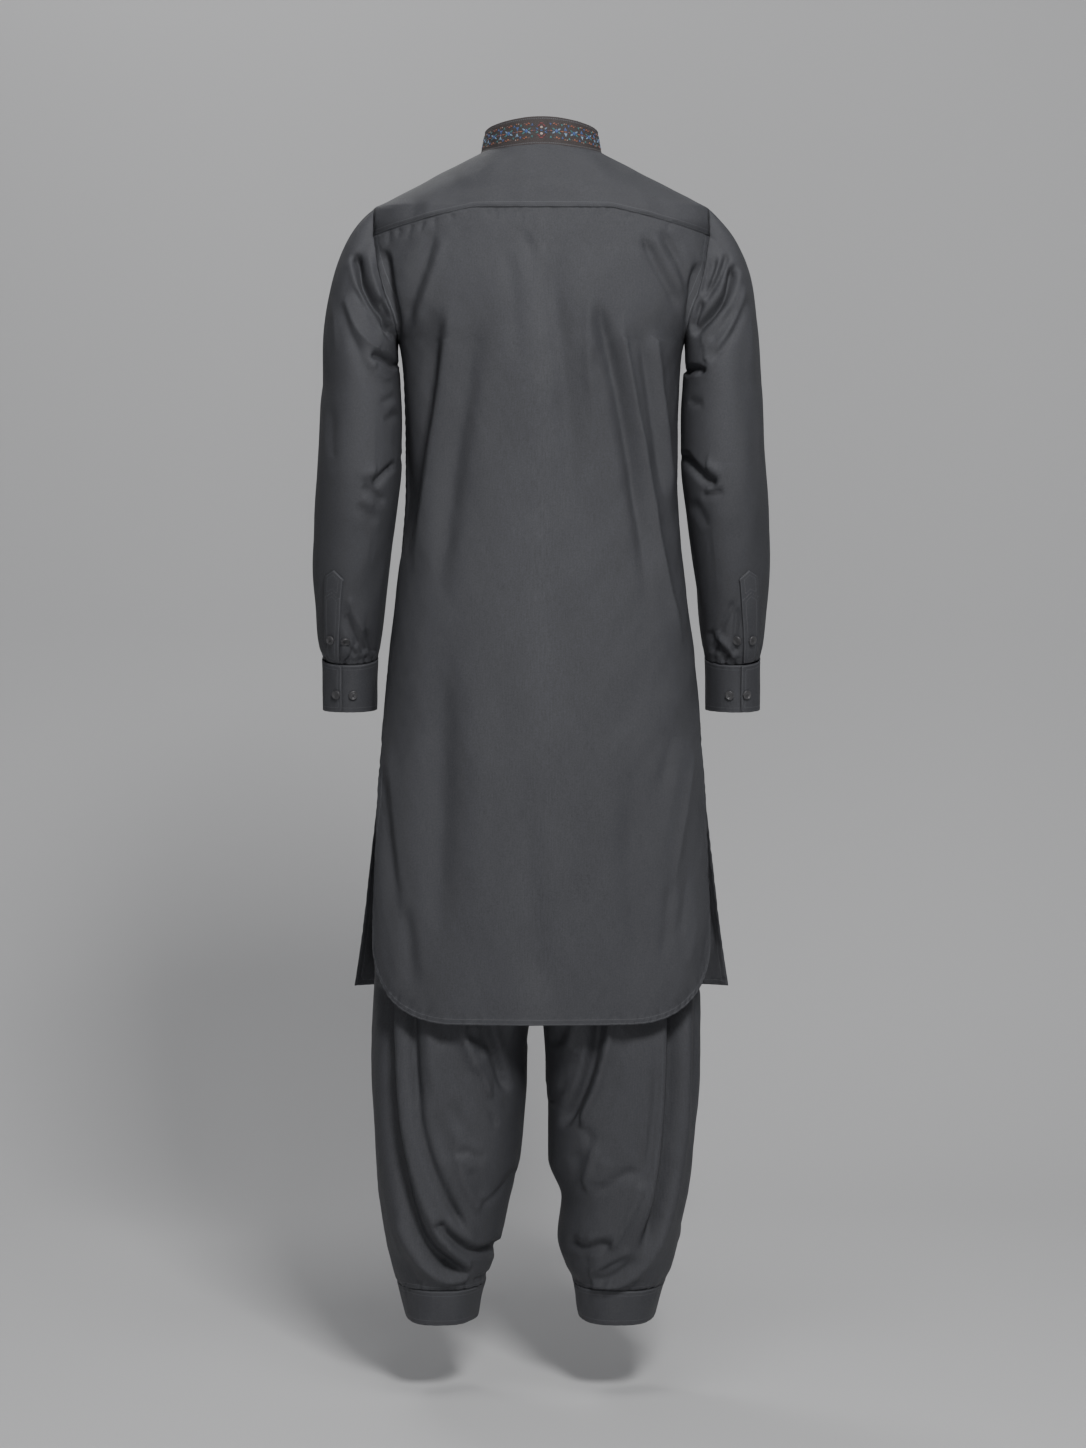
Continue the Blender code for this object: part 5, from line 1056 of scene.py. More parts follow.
def sleeve_ring(z, angles, extra=0.0):
    """Ring of a sleeve square to the arm: 0 outer, 90 back, 180 inner, 270 front."""
    x = float(smooth_lookup(SLEEVE_SECTIONS, SLEEVE_COLUMNS, "x", z))
    y = float(smooth_lookup(SLEEVE_SECTIONS, SLEEVE_COLUMNS, "y", z))
    ahead_x = float(smooth_lookup(SLEEVE_SECTIONS, SLEEVE_COLUMNS, "x", z - 0.01)) - x
    ahead_y = float(smooth_lookup(SLEEVE_SECTIONS, SLEEVE_COLUMNS, "y", z - 0.01)) - y
    half_width = float(smooth_lookup(SLEEVE_SECTIONS, SLEEVE_COLUMNS, "half_width", z)) + extra
    half_depth = float(smooth_lookup(SLEEVE_SECTIONS, SLEEVE_COLUMNS, "half_depth", z)) + extra
    aim = np.array([ahead_x, ahead_y, -0.01])
    aim = aim / np.linalg.norm(aim)
    side = np.array([1.0, 0.0, 0.0]) - aim[0] * aim
    side = side / np.linalg.norm(side)
    back = np.cross(side, aim)
    if back[1] < 0.0:
        back = -back
    angles = np.radians(angles)
    across = half_width * np.cos(angles)
    deep = half_depth * np.sin(angles)
    return np.array([x, y, z]) + across[:, None] * side + deep[:, None] * back


def sleeve_grid():
    angles = np.arange(SLEEVE_AROUND) * 360.0 / SLEEVE_AROUND
    turn = np.radians(angles)
    middle = (ARMHOLE_TOP + ARMHOLE_BOTTOM) / 2.0
    half = (ARMHOLE_TOP - ARMHOLE_BOTTOM) / 2.0
    heights = middle + half * np.cos(turn)
    hole = np.where((turn <= math.pi)[:, None], armhole_point(heights, "back"), armhole_point(heights, "front"))
    first = sleeve_ring(SLEEVE_LEVELS[0], angles)
    high = (np.cos(turn) + 1.0) / 2.0
    leave = np.stack([0.10 + 0.75 * high ** 0.8, 0.55 * np.sin(turn) * high, -1.0 + 0.35 * high], axis=-1)
    leave = leave / np.linalg.norm(leave, axis=-1, keepdims=True)
    start = hole - leave * 0.0010
    reach = np.linalg.norm(first - start, axis=-1, keepdims=True)
    rows = []
    for part in np.linspace(0.0, 1.0, SLEEVE_FAN + 1)[:-1]:
        row = (2 * part ** 3 - 3 * part ** 2 + 1) * start
        row = row + (part ** 3 - 2 * part ** 2 + part) * leave * reach
        row = row + (3 * part ** 2 - 2 * part ** 3) * first
        row = row + (part ** 3 - part ** 2) * np.array([0.0, 0.0, -1.0]) * reach
        rows.append(row)
    for level in SLEEVE_LEVELS:
        rows.append(sleeve_ring(level, angles))
    return np.array(rows)


def limb_shift(flat, normals, folds_behind, folds_before):
    """Folds of a sleeve or leg: the shown ones behind, similar ones before."""
    behind = fold_push(*seen_from_behind(flat), folds_behind)
    before = fold_push(*seen_from_behind(flat * np.array([1.0, -1.0, 1.0])), folds_before)
    facing = smooth_step((normals[..., 1] + 0.35) / 0.55)
    return behind * facing + before * (1.0 - facing)


def on_sleeve(grid, level, angle):
    """Point of a sleeve's grid at a height and an angle round the arm."""
    row = SLEEVE_FAN + np.interp(-level, -SLEEVE_LEVELS, np.arange(len(SLEEVE_LEVELS)))
    column = (angle / 360.0 * SLEEVE_AROUND) % SLEEVE_AROUND
    row_low = np.minimum(np.floor(row).astype(int), len(grid) - 2)
    column_low = np.floor(column).astype(int) % SLEEVE_AROUND
    column_high = (column_low + 1) % SLEEVE_AROUND
    row_part = (row - row_low)[..., None]
    column_part = (column - np.floor(column))[..., None]
    upper = grid[row_low, column_low] * (1.0 - column_part) + grid[row_low, column_high] * column_part
    lower = grid[row_low + 1, column_low] * (1.0 - column_part) + grid[row_low + 1, column_high] * column_part
    return upper * (1.0 - row_part) + lower * row_part


def strip_gap(around, down, crossing):
    """Distance from the edges of a strip and from a row sewn across it."""
    edge = np.minimum(np.minimum(around - around[:, :1], around[:, -1:] - around),
                      np.minimum(down, down[-1:] - down))
    return np.minimum(edge, np.abs(down - crossing) + 0.0010), down + around


button_spots = []
sleeve_pieces = []
sleeve_flat = sleeve_grid()
sleeve_centres = np.broadcast_to(sleeve_flat.mean(axis=1, keepdims=True), sleeve_flat.shape)
sleeve_around, sleeve_down = laid_out(sleeve_flat, True)
sleeve_left_over = sleeve_down[-1:] - sleeve_down
ring_angle = np.arange(SLEEVE_AROUND) * 360.0 / SLEEVE_AROUND
for side_name, mirror, folds_behind, folds_before in (
        ("left", 1.0, LEFT_SLEEVE_FOLDS, mirrored(RIGHT_SLEEVE_FOLDS, 0.009)),
        ("right", -1.0, RIGHT_SLEEVE_FOLDS, mirrored(LEFT_SLEEVE_FOLDS, -0.007))):
    flip = np.array([mirror, 1.0, 1.0])
    flat = sleeve_flat * flip
    centres = sleeve_centres * flip
    normals = grid_normals(flat, True, centres)
    seed = 41 if mirror > 0.0 else 57
    u = sleeve_around[:, :-1]
    v = sleeve_down[:, :-1]
    over = sleeve_left_over[:, :-1]
    push = limb_shift(flat, normals, folds_behind, folds_before)
    push = push + soft_waves(flat[..., 0] + flat[..., 1], flat[..., 2], seed, 0.07, 0.0008)
    on_placket = smooth_step((20.0 - np.abs(ring_angle - 62.0)) / 8.0)[None, :]
    on_placket = on_placket * smooth_step((-0.512 - flat[..., 2]) / 0.02)
    push = push * (1.0 - 0.8 * on_placket)
    inner_side = normals[..., 0] * mirror < -0.55
    push = np.where(inner_side, np.minimum(push, 0.0), push)
    push = push * smooth_step(v / 0.006) * smooth_step(over / 0.008)
    girth = float(sleeve_around[-1, -1] - sleeve_around[-1, 0])
    gathers = seam_puckers(u + girth / 2.0, over, seed + 2, girth, 0.0115, 0.0022, 0.020)
    push = push + gathers * (1.0 - 0.9 * on_placket)
    push = push + seam_puckers(np.abs(u) + 0.002, v, seed + 3, 0.24, 0.013, 0.0008, 0.008)
    points = flat + normals * push[..., None]
    points_normals = grid_normals(points, True, centres)
    seam = np.full(u.shape, 0.05)
    sleeve = kept(cloth_sheet("sleeve_cloth_" + side_name, points, True, centres, CLOTH_SHELL, (seam, u)),
                  body_cloth, "sleeve_" + side_name)

    # Placket strip with a pointed top, laid on the sleeve above the cuff.
    tall = np.linspace(0.0, 1.0, 52)[:, None]
    wide = np.linspace(-1.0, 1.0, 15)[None, :]
    level = -0.522 - 0.121 * tall - 0.010 * np.abs(wide) * smooth_step(1.0 - tall * 8.0)
    angle = 67.5 - 10.5 * tall + 15.5 * wide
    surface = on_sleeve(points, level, angle)
    outward = on_sleeve(points_normals, level, angle)
    edge = np.minimum(1.0 - np.abs(wide), np.minimum(tall * 6.0, 1.0))
    lift = 0.0016 + 0.0006 * smooth_step(edge / 0.15)
    strip = surface + outward * lift[..., None]
    strip_around, strip_down = laid_out(strip, False)
    strip_centre = np.broadcast_to(strip.mean(axis=1, keepdims=True) - outward[:, 7:8] * 0.03, strip.shape)
    placket = kept(cloth_sheet("sleeve_placket_cloth_" + side_name, strip, False, strip_centre, CLOTH_SHELL,
                               strip_gap(strip_around, strip_down, 0.030)), band_cloth,
                   "sleeve_placket_" + side_name)

    # Cuff: the upper end laps over the under end at the back, its lower corner rounded.
    sweep = np.linspace(CUFF_EDGE_ANGLE, CUFF_EDGE_ANGLE - 360.0 - CUFF_OVERLAP_ANGLE, 141)
    cuff_rows = []
    for share in np.linspace(0.0, 1.0, 25):
        level = CUFF_TOP + (CUFF_BOTTOM - CUFF_TOP) * share
        row = []
        for angle in sweep:
            turned = CUFF_EDGE_ANGLE - angle
            raised = 0.0026 * min(1.0, max(0.0, 1.0 - (turned - CUFF_OVERLAP_ANGLE - 12.0) / 50.0))
            corner = max(0.0, 1.0 - turned / 14.0)
            ring_z = level + 0.008 * (1.0 - math.sqrt(1.0 - min(corner, 0.999) ** 2)) * share ** 3
            row.append(sleeve_ring(ring_z, np.array([angle]), raised)[0])
        cuff_rows.append(row)
    cuff_flat = np.array(cuff_rows) * flip
    cuff_centre = np.array([sleeve_ring(level, np.array([0.0, 180.0])).mean(axis=0)
                            for level in np.linspace(CUFF_TOP, CUFF_BOTTOM, 25)]) * flip
    cuff_centre = np.broadcast_to(cuff_centre[:, None, :], cuff_flat.shape)
    cuff_normals = grid_normals(cuff_flat, False, cuff_centre)
    cuff_around, cuff_down = laid_out(cuff_flat, False)
    cuff_gap = np.minimum(np.minimum(cuff_around - cuff_around[:, :1], cuff_around[:, -1:] - cuff_around),
                          np.minimum(cuff_down, cuff_down[-1:] - cuff_down))
    cuff_run = cuff_around + cuff_down
    cuff_push = soft_waves(cuff_around, cuff_down, seed + 5, 0.05, 0.0004)
    cuff_push = cuff_push + seam_puckers(cuff_around + 0.15, cuff_down, seed + 6, 0.3, 0.012, 0.0005, 0.007)
    cuff_push = cuff_push + seam_puckers(cuff_around + 0.15, cuff_down[-1:] - cuff_down, seed + 7, 0.3, 0.012,
                                         0.0004, 0.007)
    cuff_points = cuff_flat + cuff_normals * cuff_push[..., None]
    cuff = kept(cloth_sheet("cuff_cloth_" + side_name, cuff_points, False, cuff_centre, BAND_SHELL,
                            (cuff_gap, cuff_run)), band_cloth, "cuff_" + side_name)
    sleeve_pieces.append((side_name, sleeve, placket, cuff))

    for spot, level, angle in (("cuff_button_upper_", -0.685, 64.0), ("cuff_button_under_", -0.685, 98.0)):
        column = int(np.argmin(np.abs(sweep - (angle if angle < CUFF_EDGE_ANGLE else angle - 360.0))))
        row = int(round((level - CUFF_TOP) / (CUFF_BOTTOM - CUFF_TOP) * 24))
        button_spots.append((spot + side_name, cuff_points[row, column], cuff_normals[row, column]))
    for spot, level, angle, lift in (("placket_button_upper_", -0.612, 60.0, 0.0024),
                                     ("placket_button_under_", -0.612, 85.0, 0.0002)):
        place = on_sleeve(points, np.array(level), np.array(angle))
        facing = on_sleeve(points_normals, np.array(level), np.array(angle))
        facing = facing / np.linalg.norm(facing)
        button_spots.append((spot + side_name, place + facing * lift, facing))


# Shalwar legs.
LEG_OUTER_COLUMNS = 104
LEG_INNER_COLUMNS = 30
TRUNK_LEVELS = np.concatenate([np.linspace(WAIST_SEAM - 0.0004, -0.930, 40)])
LOWER_LEVELS = denser(((CROTCH_HEIGHT, -1.4000, 0.0034), (-1.4000, LEG_BOTTOM + 0.0004, 0.0018)),
                      LEG_BOTTOM + 0.0004)
TRUNK_PLEAT_COLUMNS = ("z", "share")
TRUNK_PLEATS = (
    (-0.440, 0.00),
    (-0.500, 0.70),
    (-0.580, 1.00),
    (-0.670, 0.80),
    (-0.760, 0.55),
    (-0.850, 0.30),
    (-0.930, 0.12),
)


def trunk_shift(z):
    return LEG_SHIFT * min(1.0, max(0.0, (WAIST_SEAM - z) / 0.45))


def leg_ring(side_name, z, whole):
    """Section of a leg: columns from the front centre round the outer side to the back centre, then inside."""
    depth_back = float(smooth_lookup(TRUNK_SECTIONS, TRUNK_COLUMNS, "back_depth", z))
    depth_front = float(smooth_lookup(TRUNK_SECTIONS, TRUNK_COLUMNS, "front_depth", z))
    half_width = float(smooth_lookup(TRUNK_SECTIONS, TRUNK_COLUMNS, "half_width", z))
    turn = np.linspace(0.0, math.pi, LEG_OUTER_COLUMNS + 1)
    reach = np.abs(np.sin(turn)) ** (2.0 / 2.4)
    deep = np.sign(-np.cos(turn)) * np.abs(np.cos(turn)) ** (2.0 / 2.4)
    x = np.maximum(half_width * reach, 0.0004)
    y = np.where(deep > 0.0, depth_back * deep, depth_front * deep)
    trunk = np.stack([x, y], axis=-1)
    if not whole:
        return np.concatenate([trunk, np.full((LEG_OUTER_COLUMNS + 1, 1), z)], axis=1)
    inner_part = np.linspace(1.0, -1.0, LEG_INNER_COLUMNS + 1)[1:-1]
    inner_line = np.stack([np.full(len(inner_part), 0.0004),
                           np.where(inner_part > 0.0, depth_back, depth_front) * inner_part], axis=-1)
    trunk = np.concatenate([trunk, inner_line])
    outer = float(smooth_lookup(LEG_SECTIONS, LEG_COLUMNS, side_name + "_outer", z))
    inner = float(smooth_lookup(LEG_SECTIONS, LEG_COLUMNS, side_name + "_inner", z))
    half_depth = float(smooth_lookup(LEG_SECTIONS, LEG_COLUMNS, "half_depth", z))
    centre = (outer + inner) / 2.0
    wide = (outer - inner) / 2.0
    opening = 48.0
    angles = np.concatenate([np.linspace(opening, 360.0 - opening, LEG_OUTER_COLUMNS + 1),
                             np.linspace(360.0 - opening, 360.0 + opening, LEG_INNER_COLUMNS + 1)[1:-1]])
    angles = np.radians(angles)
    squared = 2.0 / 2.25
    ring_x = centre - wide * np.sign(np.cos(angles)) * np.abs(np.cos(angles)) ** squared
    ring_y = -half_depth * np.sign(np.sin(angles)) * np.abs(np.sin(angles)) ** squared
    ring = np.stack([ring_x, ring_y], axis=-1)
    blend = min(1.0, max(0.0, (CROTCH_HEIGHT - z) / 0.16))
    blend = blend * blend * (3.0 - 2.0 * blend)
    mixed = trunk * (1.0 - blend) + ring * blend
    return np.concatenate([mixed, np.full((len(mixed), 1), z)], axis=1)


def leg_cloth(side_name, mirror, folds_behind, folds_before, seed):
    """One leg: an open half trunk welded to closed rings below the crotch, and its hem band."""
    flip = np.array([mirror, 1.0, 1.0])
    trunk = np.array([leg_ring(side_name, z, False) for z in TRUNK_LEVELS]) * flip
    lower = np.array([leg_ring(side_name, z, True) for z in LOWER_LEVELS]) * flip
    wave = 0.0035 * np.cos(np.linspace(0.0, math.pi, LEG_OUTER_COLUMNS + 1) * 14.0)
    wave = wave * np.minimum(1.0, np.sin(np.linspace(0.0, math.pi, LEG_OUTER_COLUMNS + 1)) * 8.0)
    trunk_normals = grid_normals(trunk, False, trunk * np.array([0.0, 0.0, 1.0]) + np.array([0.08 * mirror, 0, 0]))
    fall = smooth_lookup(TRUNK_PLEATS, TRUNK_PLEAT_COLUMNS, "share", TRUNK_LEVELS)
    trunk = trunk - trunk_normals * ((wave[None, :] + 0.0035) * fall[:, None])[..., None]
    middle = np.broadcast_to(lower.mean(axis=1, keepdims=True), lower.shape)
    normals = grid_normals(lower, True, middle)
    around, down = laid_out(lower, True)
    u = around[:, :-1]
    v = down[:, :-1]
    over = down[-1:, :-1] - v
    shifted = lower + np.array([1.0, 0.0, 0.0]) * np.array([trunk_shift(z) for z in LOWER_LEVELS])[:, None, None]
    push = limb_shift(shifted, normals, folds_behind, folds_before)
    push = push + soft_waves(u, v, seed, 0.08, 0.0009) + soft_waves(u, v, seed + 1, 0.03, 0.00025)
    inner = normals[..., 0] * mirror < -0.5
    push = np.where(inner, np.minimum(push, 0.0), push)
    push = push * smooth_step(v / 0.06) * smooth_step(over / 0.006)
    girth = float(around[-1, -1] - around[-1, 0])
    push = push + seam_puckers(u + girth / 2.0, over, seed + 2, girth, 0.0095, 0.0013, 0.016)
    lower = lower + normals * push[..., None]
    trunk[..., 0] += np.array([trunk_shift(z) for z in TRUNK_LEVELS])[:, None]
    lower[..., 0] += np.array([trunk_shift(z) for z in LOWER_LEVELS])[:, None]
    open_columns = LEG_OUTER_COLUMNS + 1
    ring_columns = LEG_OUTER_COLUMNS + LEG_INNER_COLUMNS
    vertices = list(trunk.reshape(-1, 3)) + list(lower.reshape(-1, 3))
    base = len(TRUNK_LEVELS) * open_columns
    quads = []
    for row in range(len(TRUNK_LEVELS)):
        for column in range(LEG_OUTER_COLUMNS):
            below = (row + 1) * open_columns if row + 1 < len(TRUNK_LEVELS) else base
            quads.append((row * open_columns + column, row * open_columns + column + 1, below + column + 1,
                          below + column))
    for row in range(len(LOWER_LEVELS) - 1):
        for column in range(ring_columns):
            following = (column + 1) % ring_columns
            first = base + row * ring_columns
            quads.append((first + column, first + following, first + ring_columns + following,
                          first + ring_columns + column))
    corner = [np.array(vertices[number]) for number in quads[LEG_OUTER_COLUMNS // 2]]
    facing = np.cross(corner[1] - corner[0], corner[3] - corner[0])
    if facing[0] * mirror < 0.0:
        quads = [quad[::-1] for quad in quads]
    trunk_around = laid_out(trunk, False)[0]
    flat_u = np.concatenate([trunk_around.ravel(), u.ravel()])
    flat_v = np.array([-point[2] for point in vertices])
    wrap = float(around[:, -1].max() - around[:, 0].min())
    corners = []
    for quad in quads:
        places = flat_u[list(quad)]
        places = np.where(places.max() - places > wrap * 0.5, places + wrap, places)
        corners.extend(zip(places, flat_v[list(quad)]))
    gap = np.concatenate([np.full(trunk_around.size, 0.05), over.ravel() + 0.002])
    run = flat_u
    leg = shell_object("shalwar_leg_cloth_" + side_name, vertices, quads, np.array(corners), CLOTH_SHELL,
                       (gap, run))
    kept(leg, body_cloth, "shalwar_leg_" + side_name)
    band = np.array([leg_ring(side_name, z, True) for z in np.linspace(LEG_BOTTOM - 0.0004, HEM_BAND_BOTTOM, 19)])
    band = band * flip
    band_middle = np.broadcast_to(band.mean(axis=1, keepdims=True), band.shape)
    band_normals = grid_normals(band, True, band_middle)
    band_around, band_down = laid_out(band, True)
    band_u = band_around[:, :-1]
    band_v = band_down[:, :-1]
    edge = np.minimum(band_v, band_v[-1:] - band_v)
    band_push = soft_waves(band_u, band_v, seed + 4, 0.06, 0.0009)
    band_push = band_push + seam_puckers(band_u + girth / 2.0, band_v, seed + 5, girth, 0.0095, 0.0010, 0.016)
    band_push = band_push + seam_puckers(band_u + girth / 2.0, band_v[-1:] - band_v, seed + 6, girth, 0.012,
                                         0.0006, 0.010)
    band_push = band_push + 0.0003 * smooth_step(edge / 0.003)
    band = band + band_normals * band_push[..., None]
    band[..., 0] += LEG_SHIFT
    hem = cloth_sheet("hem_band_cloth_" + side_name, band, True, band_middle + np.array([LEG_SHIFT, 0.0, 0.0]),
                      BAND_SHELL, (edge, band_u))
    kept(hem, band_cloth, "hem_band_" + side_name)
    return leg, hem


leg_left, hem_left = leg_cloth("left", 1.0, LEFT_LEG_FOLDS, mirrored(RIGHT_LEG_FOLDS, 0.012), 71)
leg_right, hem_right = leg_cloth("right", -1.0, RIGHT_LEG_FOLDS, mirrored(LEFT_LEG_FOLDS, -0.010), 83)

# Waistband, hidden under the kurta, gathered on its cord.
band_turn = np.linspace(0.0, 2.0 * math.pi, 181)[:-1]
band_rows = []
for level in np.linspace(WAIST_TOP, WAIST_SEAM + 0.0004, 9):
    wide = float(smooth_lookup(TRUNK_SECTIONS, TRUNK_COLUMNS, "half_width", level))
    back = float(smooth_lookup(TRUNK_SECTIONS, TRUNK_COLUMNS, "back_depth", level))
    front = float(smooth_lookup(TRUNK_SECTIONS, TRUNK_COLUMNS, "front_depth", level))
    x = wide * np.sign(np.sin(band_turn)) * np.abs(np.sin(band_turn)) ** (2.0 / 2.4)
    deep = np.sign(np.cos(band_turn)) * np.abs(np.cos(band_turn)) ** (2.0 / 2.4)
    y = np.where(deep > 0.0, back * deep, front * deep)
    band_rows.append(np.stack([x, y, np.full(len(x), level)], axis=-1))
waist_flat = np.array(band_rows)
waist_axis = waist_flat * np.array([0.0, 0.0, 1.0])
waist_normals = grid_normals(waist_flat, True, waist_axis)
waist_around, waist_down = laid_out(waist_flat, True)
waist_u = waist_around[:, :-1]
waist_v = waist_down[:, :-1]
waist_push = seam_puckers(waist_u + 0.5, np.abs(waist_v - 0.016) * 0.5, 91, 1.0, 0.012, 0.0016, 0.02)
waist_points = waist_flat + waist_normals * waist_push[..., None]
waistband = kept(cloth_sheet("shalwar_waistband_cloth", waist_points, True, waist_axis, BAND_SHELL,
                             (np.minimum(waist_v, waist_v[-1:] - waist_v), waist_u)), band_cloth,
                 "shalwar_waistband")

# Front placket: a strip on the front panel with a blunt pointed foot.
placket_x = np.linspace(-0.017, 0.017, 19)
placket_tall = np.linspace(0.0, 1.0, 90)
placket_rows = []
placket_facing = []
heights = np.array([np.interp(0.0, front_points[row, :, 0], front_points[row, :, 2])
                    for row in range(len(front_points))])
for tall in placket_tall:
    start = heights[0] - 0.0005
    row_points = []
    row_facing = []
    for x in placket_x:
        foot = -0.440 + 0.010 * abs(x) / 0.017
        z = start + (foot - start) * tall
        row = np.interp(-z, -heights, np.arange(len(heights)))
        low = min(int(row), len(heights) - 2)
        part = row - low
        spots = []
        for grid in (front_points, front_normals):
            upper = [np.interp(x, front_points[low, :, 0], grid[low, :, axis]) for axis in range(3)]
            lower = [np.interp(x, front_points[low + 1, :, 0], grid[low + 1, :, axis]) for axis in range(3)]
            spots.append(np.array(upper) * (1.0 - part) + np.array(lower) * part)
        edge = min(1.0, (0.017 - abs(x)) / 0.002)
        row_points.append(spots[0] + spots[1] * (0.0012 + 0.0008 * edge))
        row_facing.append(spots[1])
    placket_rows.append(row_points)
    placket_facing.append(row_facing)
placket_points = np.array(placket_rows)
placket_facing = np.array(placket_facing)
placket_around, placket_down = laid_out(placket_points, False)
front_placket = kept(cloth_sheet("front_placket_cloth", placket_points, False,
                                 placket_points * np.array([0.0, 0.0, 1.0]), CLOTH_SHELL,
                                 strip_gap(placket_around, placket_down, 0.30)), band_cloth, "front_placket")
for number, height in enumerate((-0.100, -0.185, -0.270, -0.355)):
    row = int(np.argmin(np.abs(placket_points[:, 9, 2] - height)))
    button_spots.append(("front_button_" + str(number + 1), placket_points[row, 9], placket_facing[row, 9]))


# Collar embroidery: small raised motifs, charted in millimetres along and up the band.
def leaf(long, wide):
    turn = np.linspace(0.0, 2.0 * math.pi, 13)[:-1]
    return np.stack([long / 2.0 * np.cos(turn), wide / 2.0 * np.sin(turn) * (1.0 - 0.35 * np.cos(turn))], axis=-1)


def petal(long, wide):
    turn = np.linspace(0.0, 2.0 * math.pi, 11)[:-1]
    return np.stack([long / 2.0 * np.cos(turn), wide / 2.0 * np.sin(turn)], axis=-1)


def wedge(long, wide):
    return np.array([(-long / 2.0, -wide / 2.0), (0.0, -wide * 0.42), (long / 2.0, -wide / 2.0),
                     (long * 0.26, 0.0), (0.0, wide / 2.0), (-long * 0.26, 0.0)])


def lozenge(long, wide):
    return np.array([(-long / 2.0, 0.0), (-long / 4.0, -wide / 4.0), (0.0, -wide / 2.0), (long / 4.0, -wide / 4.0),
                     (long / 2.0, 0.0), (long / 4.0, wide / 4.0), (0.0, wide / 2.0), (-long / 4.0, wide / 4.0)])


SHAPES = {"leaf": leaf, "petal": petal, "wedge": wedge, "lozenge": lozenge}
THREADS = {
    "blue": (0.045, 0.105, 0.300),
    "sky": (0.200, 0.330, 0.470),
    "teal": (0.040, 0.190, 0.200),
    "rust": (0.330, 0.090, 0.040),
    "orange": (0.480, 0.170, 0.070),
    "red": (0.220, 0.025, 0.030),
    "cream": (0.560, 0.430, 0.380),
    "brown": (0.120, 0.070, 0.060),
}
# Motif columns: shape, along, up, long, wide, turn and thread.
REPEAT_LENGTH = 24.0
REPEAT = (
    ("lozenge", 0.0, 17.0, 4.6, 5.2, 0, "blue"),
    ("petal", 0.0, 17.0, 1.8, 2.0, 0, "cream"),
    ("leaf", 3.8, 19.2, 4.2, 1.8, 32, "sky"),
    ("leaf", 3.8, 14.8, 4.2, 1.8, -32, "teal"),
    ("leaf", -3.8, 19.2, 4.2, 1.8, 148, "teal"),
    ("leaf", -3.8, 14.8, 4.2, 1.8, 212, "sky"),
    ("petal", 7.4, 17.0, 3.0, 1.1, 0, "orange"),
    ("petal", -7.4, 17.0, 3.0, 1.1, 0, "rust"),
    ("wedge", 12.0, 20.6, 4.6, 4.6, 180, "blue"),
    ("wedge", 12.0, 13.4, 4.6, 4.6, 0, "sky"),
    ("petal", 12.0, 17.0, 1.7, 1.7, 0, "orange"),
    ("petal", 0.0, 24.6, 2.2, 1.8, 0, "rust"),
    ("petal", 0.0, 9.4, 2.2, 1.8, 0, "orange"),
    ("leaf", 3.0, 25.6, 3.4, 1.5, -24, "brown"),
    ("leaf", -3.0, 25.6, 3.4, 1.5, 204, "rust"),
    ("leaf", 3.0, 8.4, 3.4, 1.5, 24, "rust"),
    ("leaf", -3.0, 8.4, 3.4, 1.5, 156, "brown"),
    ("wedge", 7.4, 24.4, 3.0, 3.0, 0, "teal"),
    ("wedge", -7.4, 24.4, 3.0, 3.0, 0, "blue"),
    ("wedge", 7.4, 9.6, 3.0, 3.0, 180, "blue"),
    ("wedge", -7.4, 9.6, 3.0, 3.0, 180, "teal"),
    ("petal", 10.6, 26.4, 1.5, 1.3, 0, "cream"),
    ("petal", 13.4, 26.4, 1.5, 1.3, 0, "orange"),
    ("petal", 10.6, 7.6, 1.5, 1.3, 0, "orange"),
    ("petal", 13.4, 7.6, 1.5, 1.3, 0, "cream"),
)
MEDALLION = (
    ("petal", 0.0, 20.8, 3.6, 2.9, 0, "cream"),
    ("petal", 0.0, 13.2, 3.6, 2.9, 0, "cream"),
    ("petal", 0.0, 17.0, 3.6, 1.3, 0, "blue"),
    ("leaf", 3.4, 22.9, 4.4, 1.5, -38, "red"),
    ("leaf", -3.4, 22.9, 4.4, 1.5, 218, "red"),
    ("leaf", 3.4, 11.1, 4.4, 1.5, 38, "red"),
    ("leaf", -3.4, 11.1, 4.4, 1.5, 142, "red"),
    ("petal", 0.0, 25.6, 5.2, 1.3, 0, "red"),
    ("petal", 0.0, 8.4, 5.2, 1.3, 0, "red"),
    ("leaf", 5.6, 19.2, 3.6, 1.6, 30, "blue"),
    ("leaf", 5.6, 14.8, 3.6, 1.6, -30, "teal"),
    ("leaf", -5.6, 19.2, 3.6, 1.6, 150, "sky"),
    ("leaf", -5.6, 14.8, 3.6, 1.6, 210, "blue"),
)
collar_length = float(collar_around[12, -1] - collar_around[12, 0]) * 1000.0
motifs = list(MEDALLION)
for side in (1.0, -1.0):
    centre = 19.0
    while centre < collar_length / 2.0 - 8.0:
        for shape, along, up, long, wide, turn, thread in REPEAT:
            if shape == "lozenge" or centre + along < collar_length / 2.0 - 4.0:
                turned = turn if side > 0.0 else 180 - turn
                motifs.append((shape, side * (centre + along), up, long, wide, turned, thread))
        centre = centre + REPEAT_LENGTH
for step in range(int(collar_length / 2.0 / 2.0) - 3):
    for side in (1.0, -1.0):
        place = 6.5 + step * 2.0
        if abs((place - 19.0 + 12.0) % REPEAT_LENGTH - 12.0) > 3.0:
            motifs.append(("petal", side * place, 17.0, 1.9, 0.8, 0, ("blue", "rust", "blue", "orange")[step % 4]))


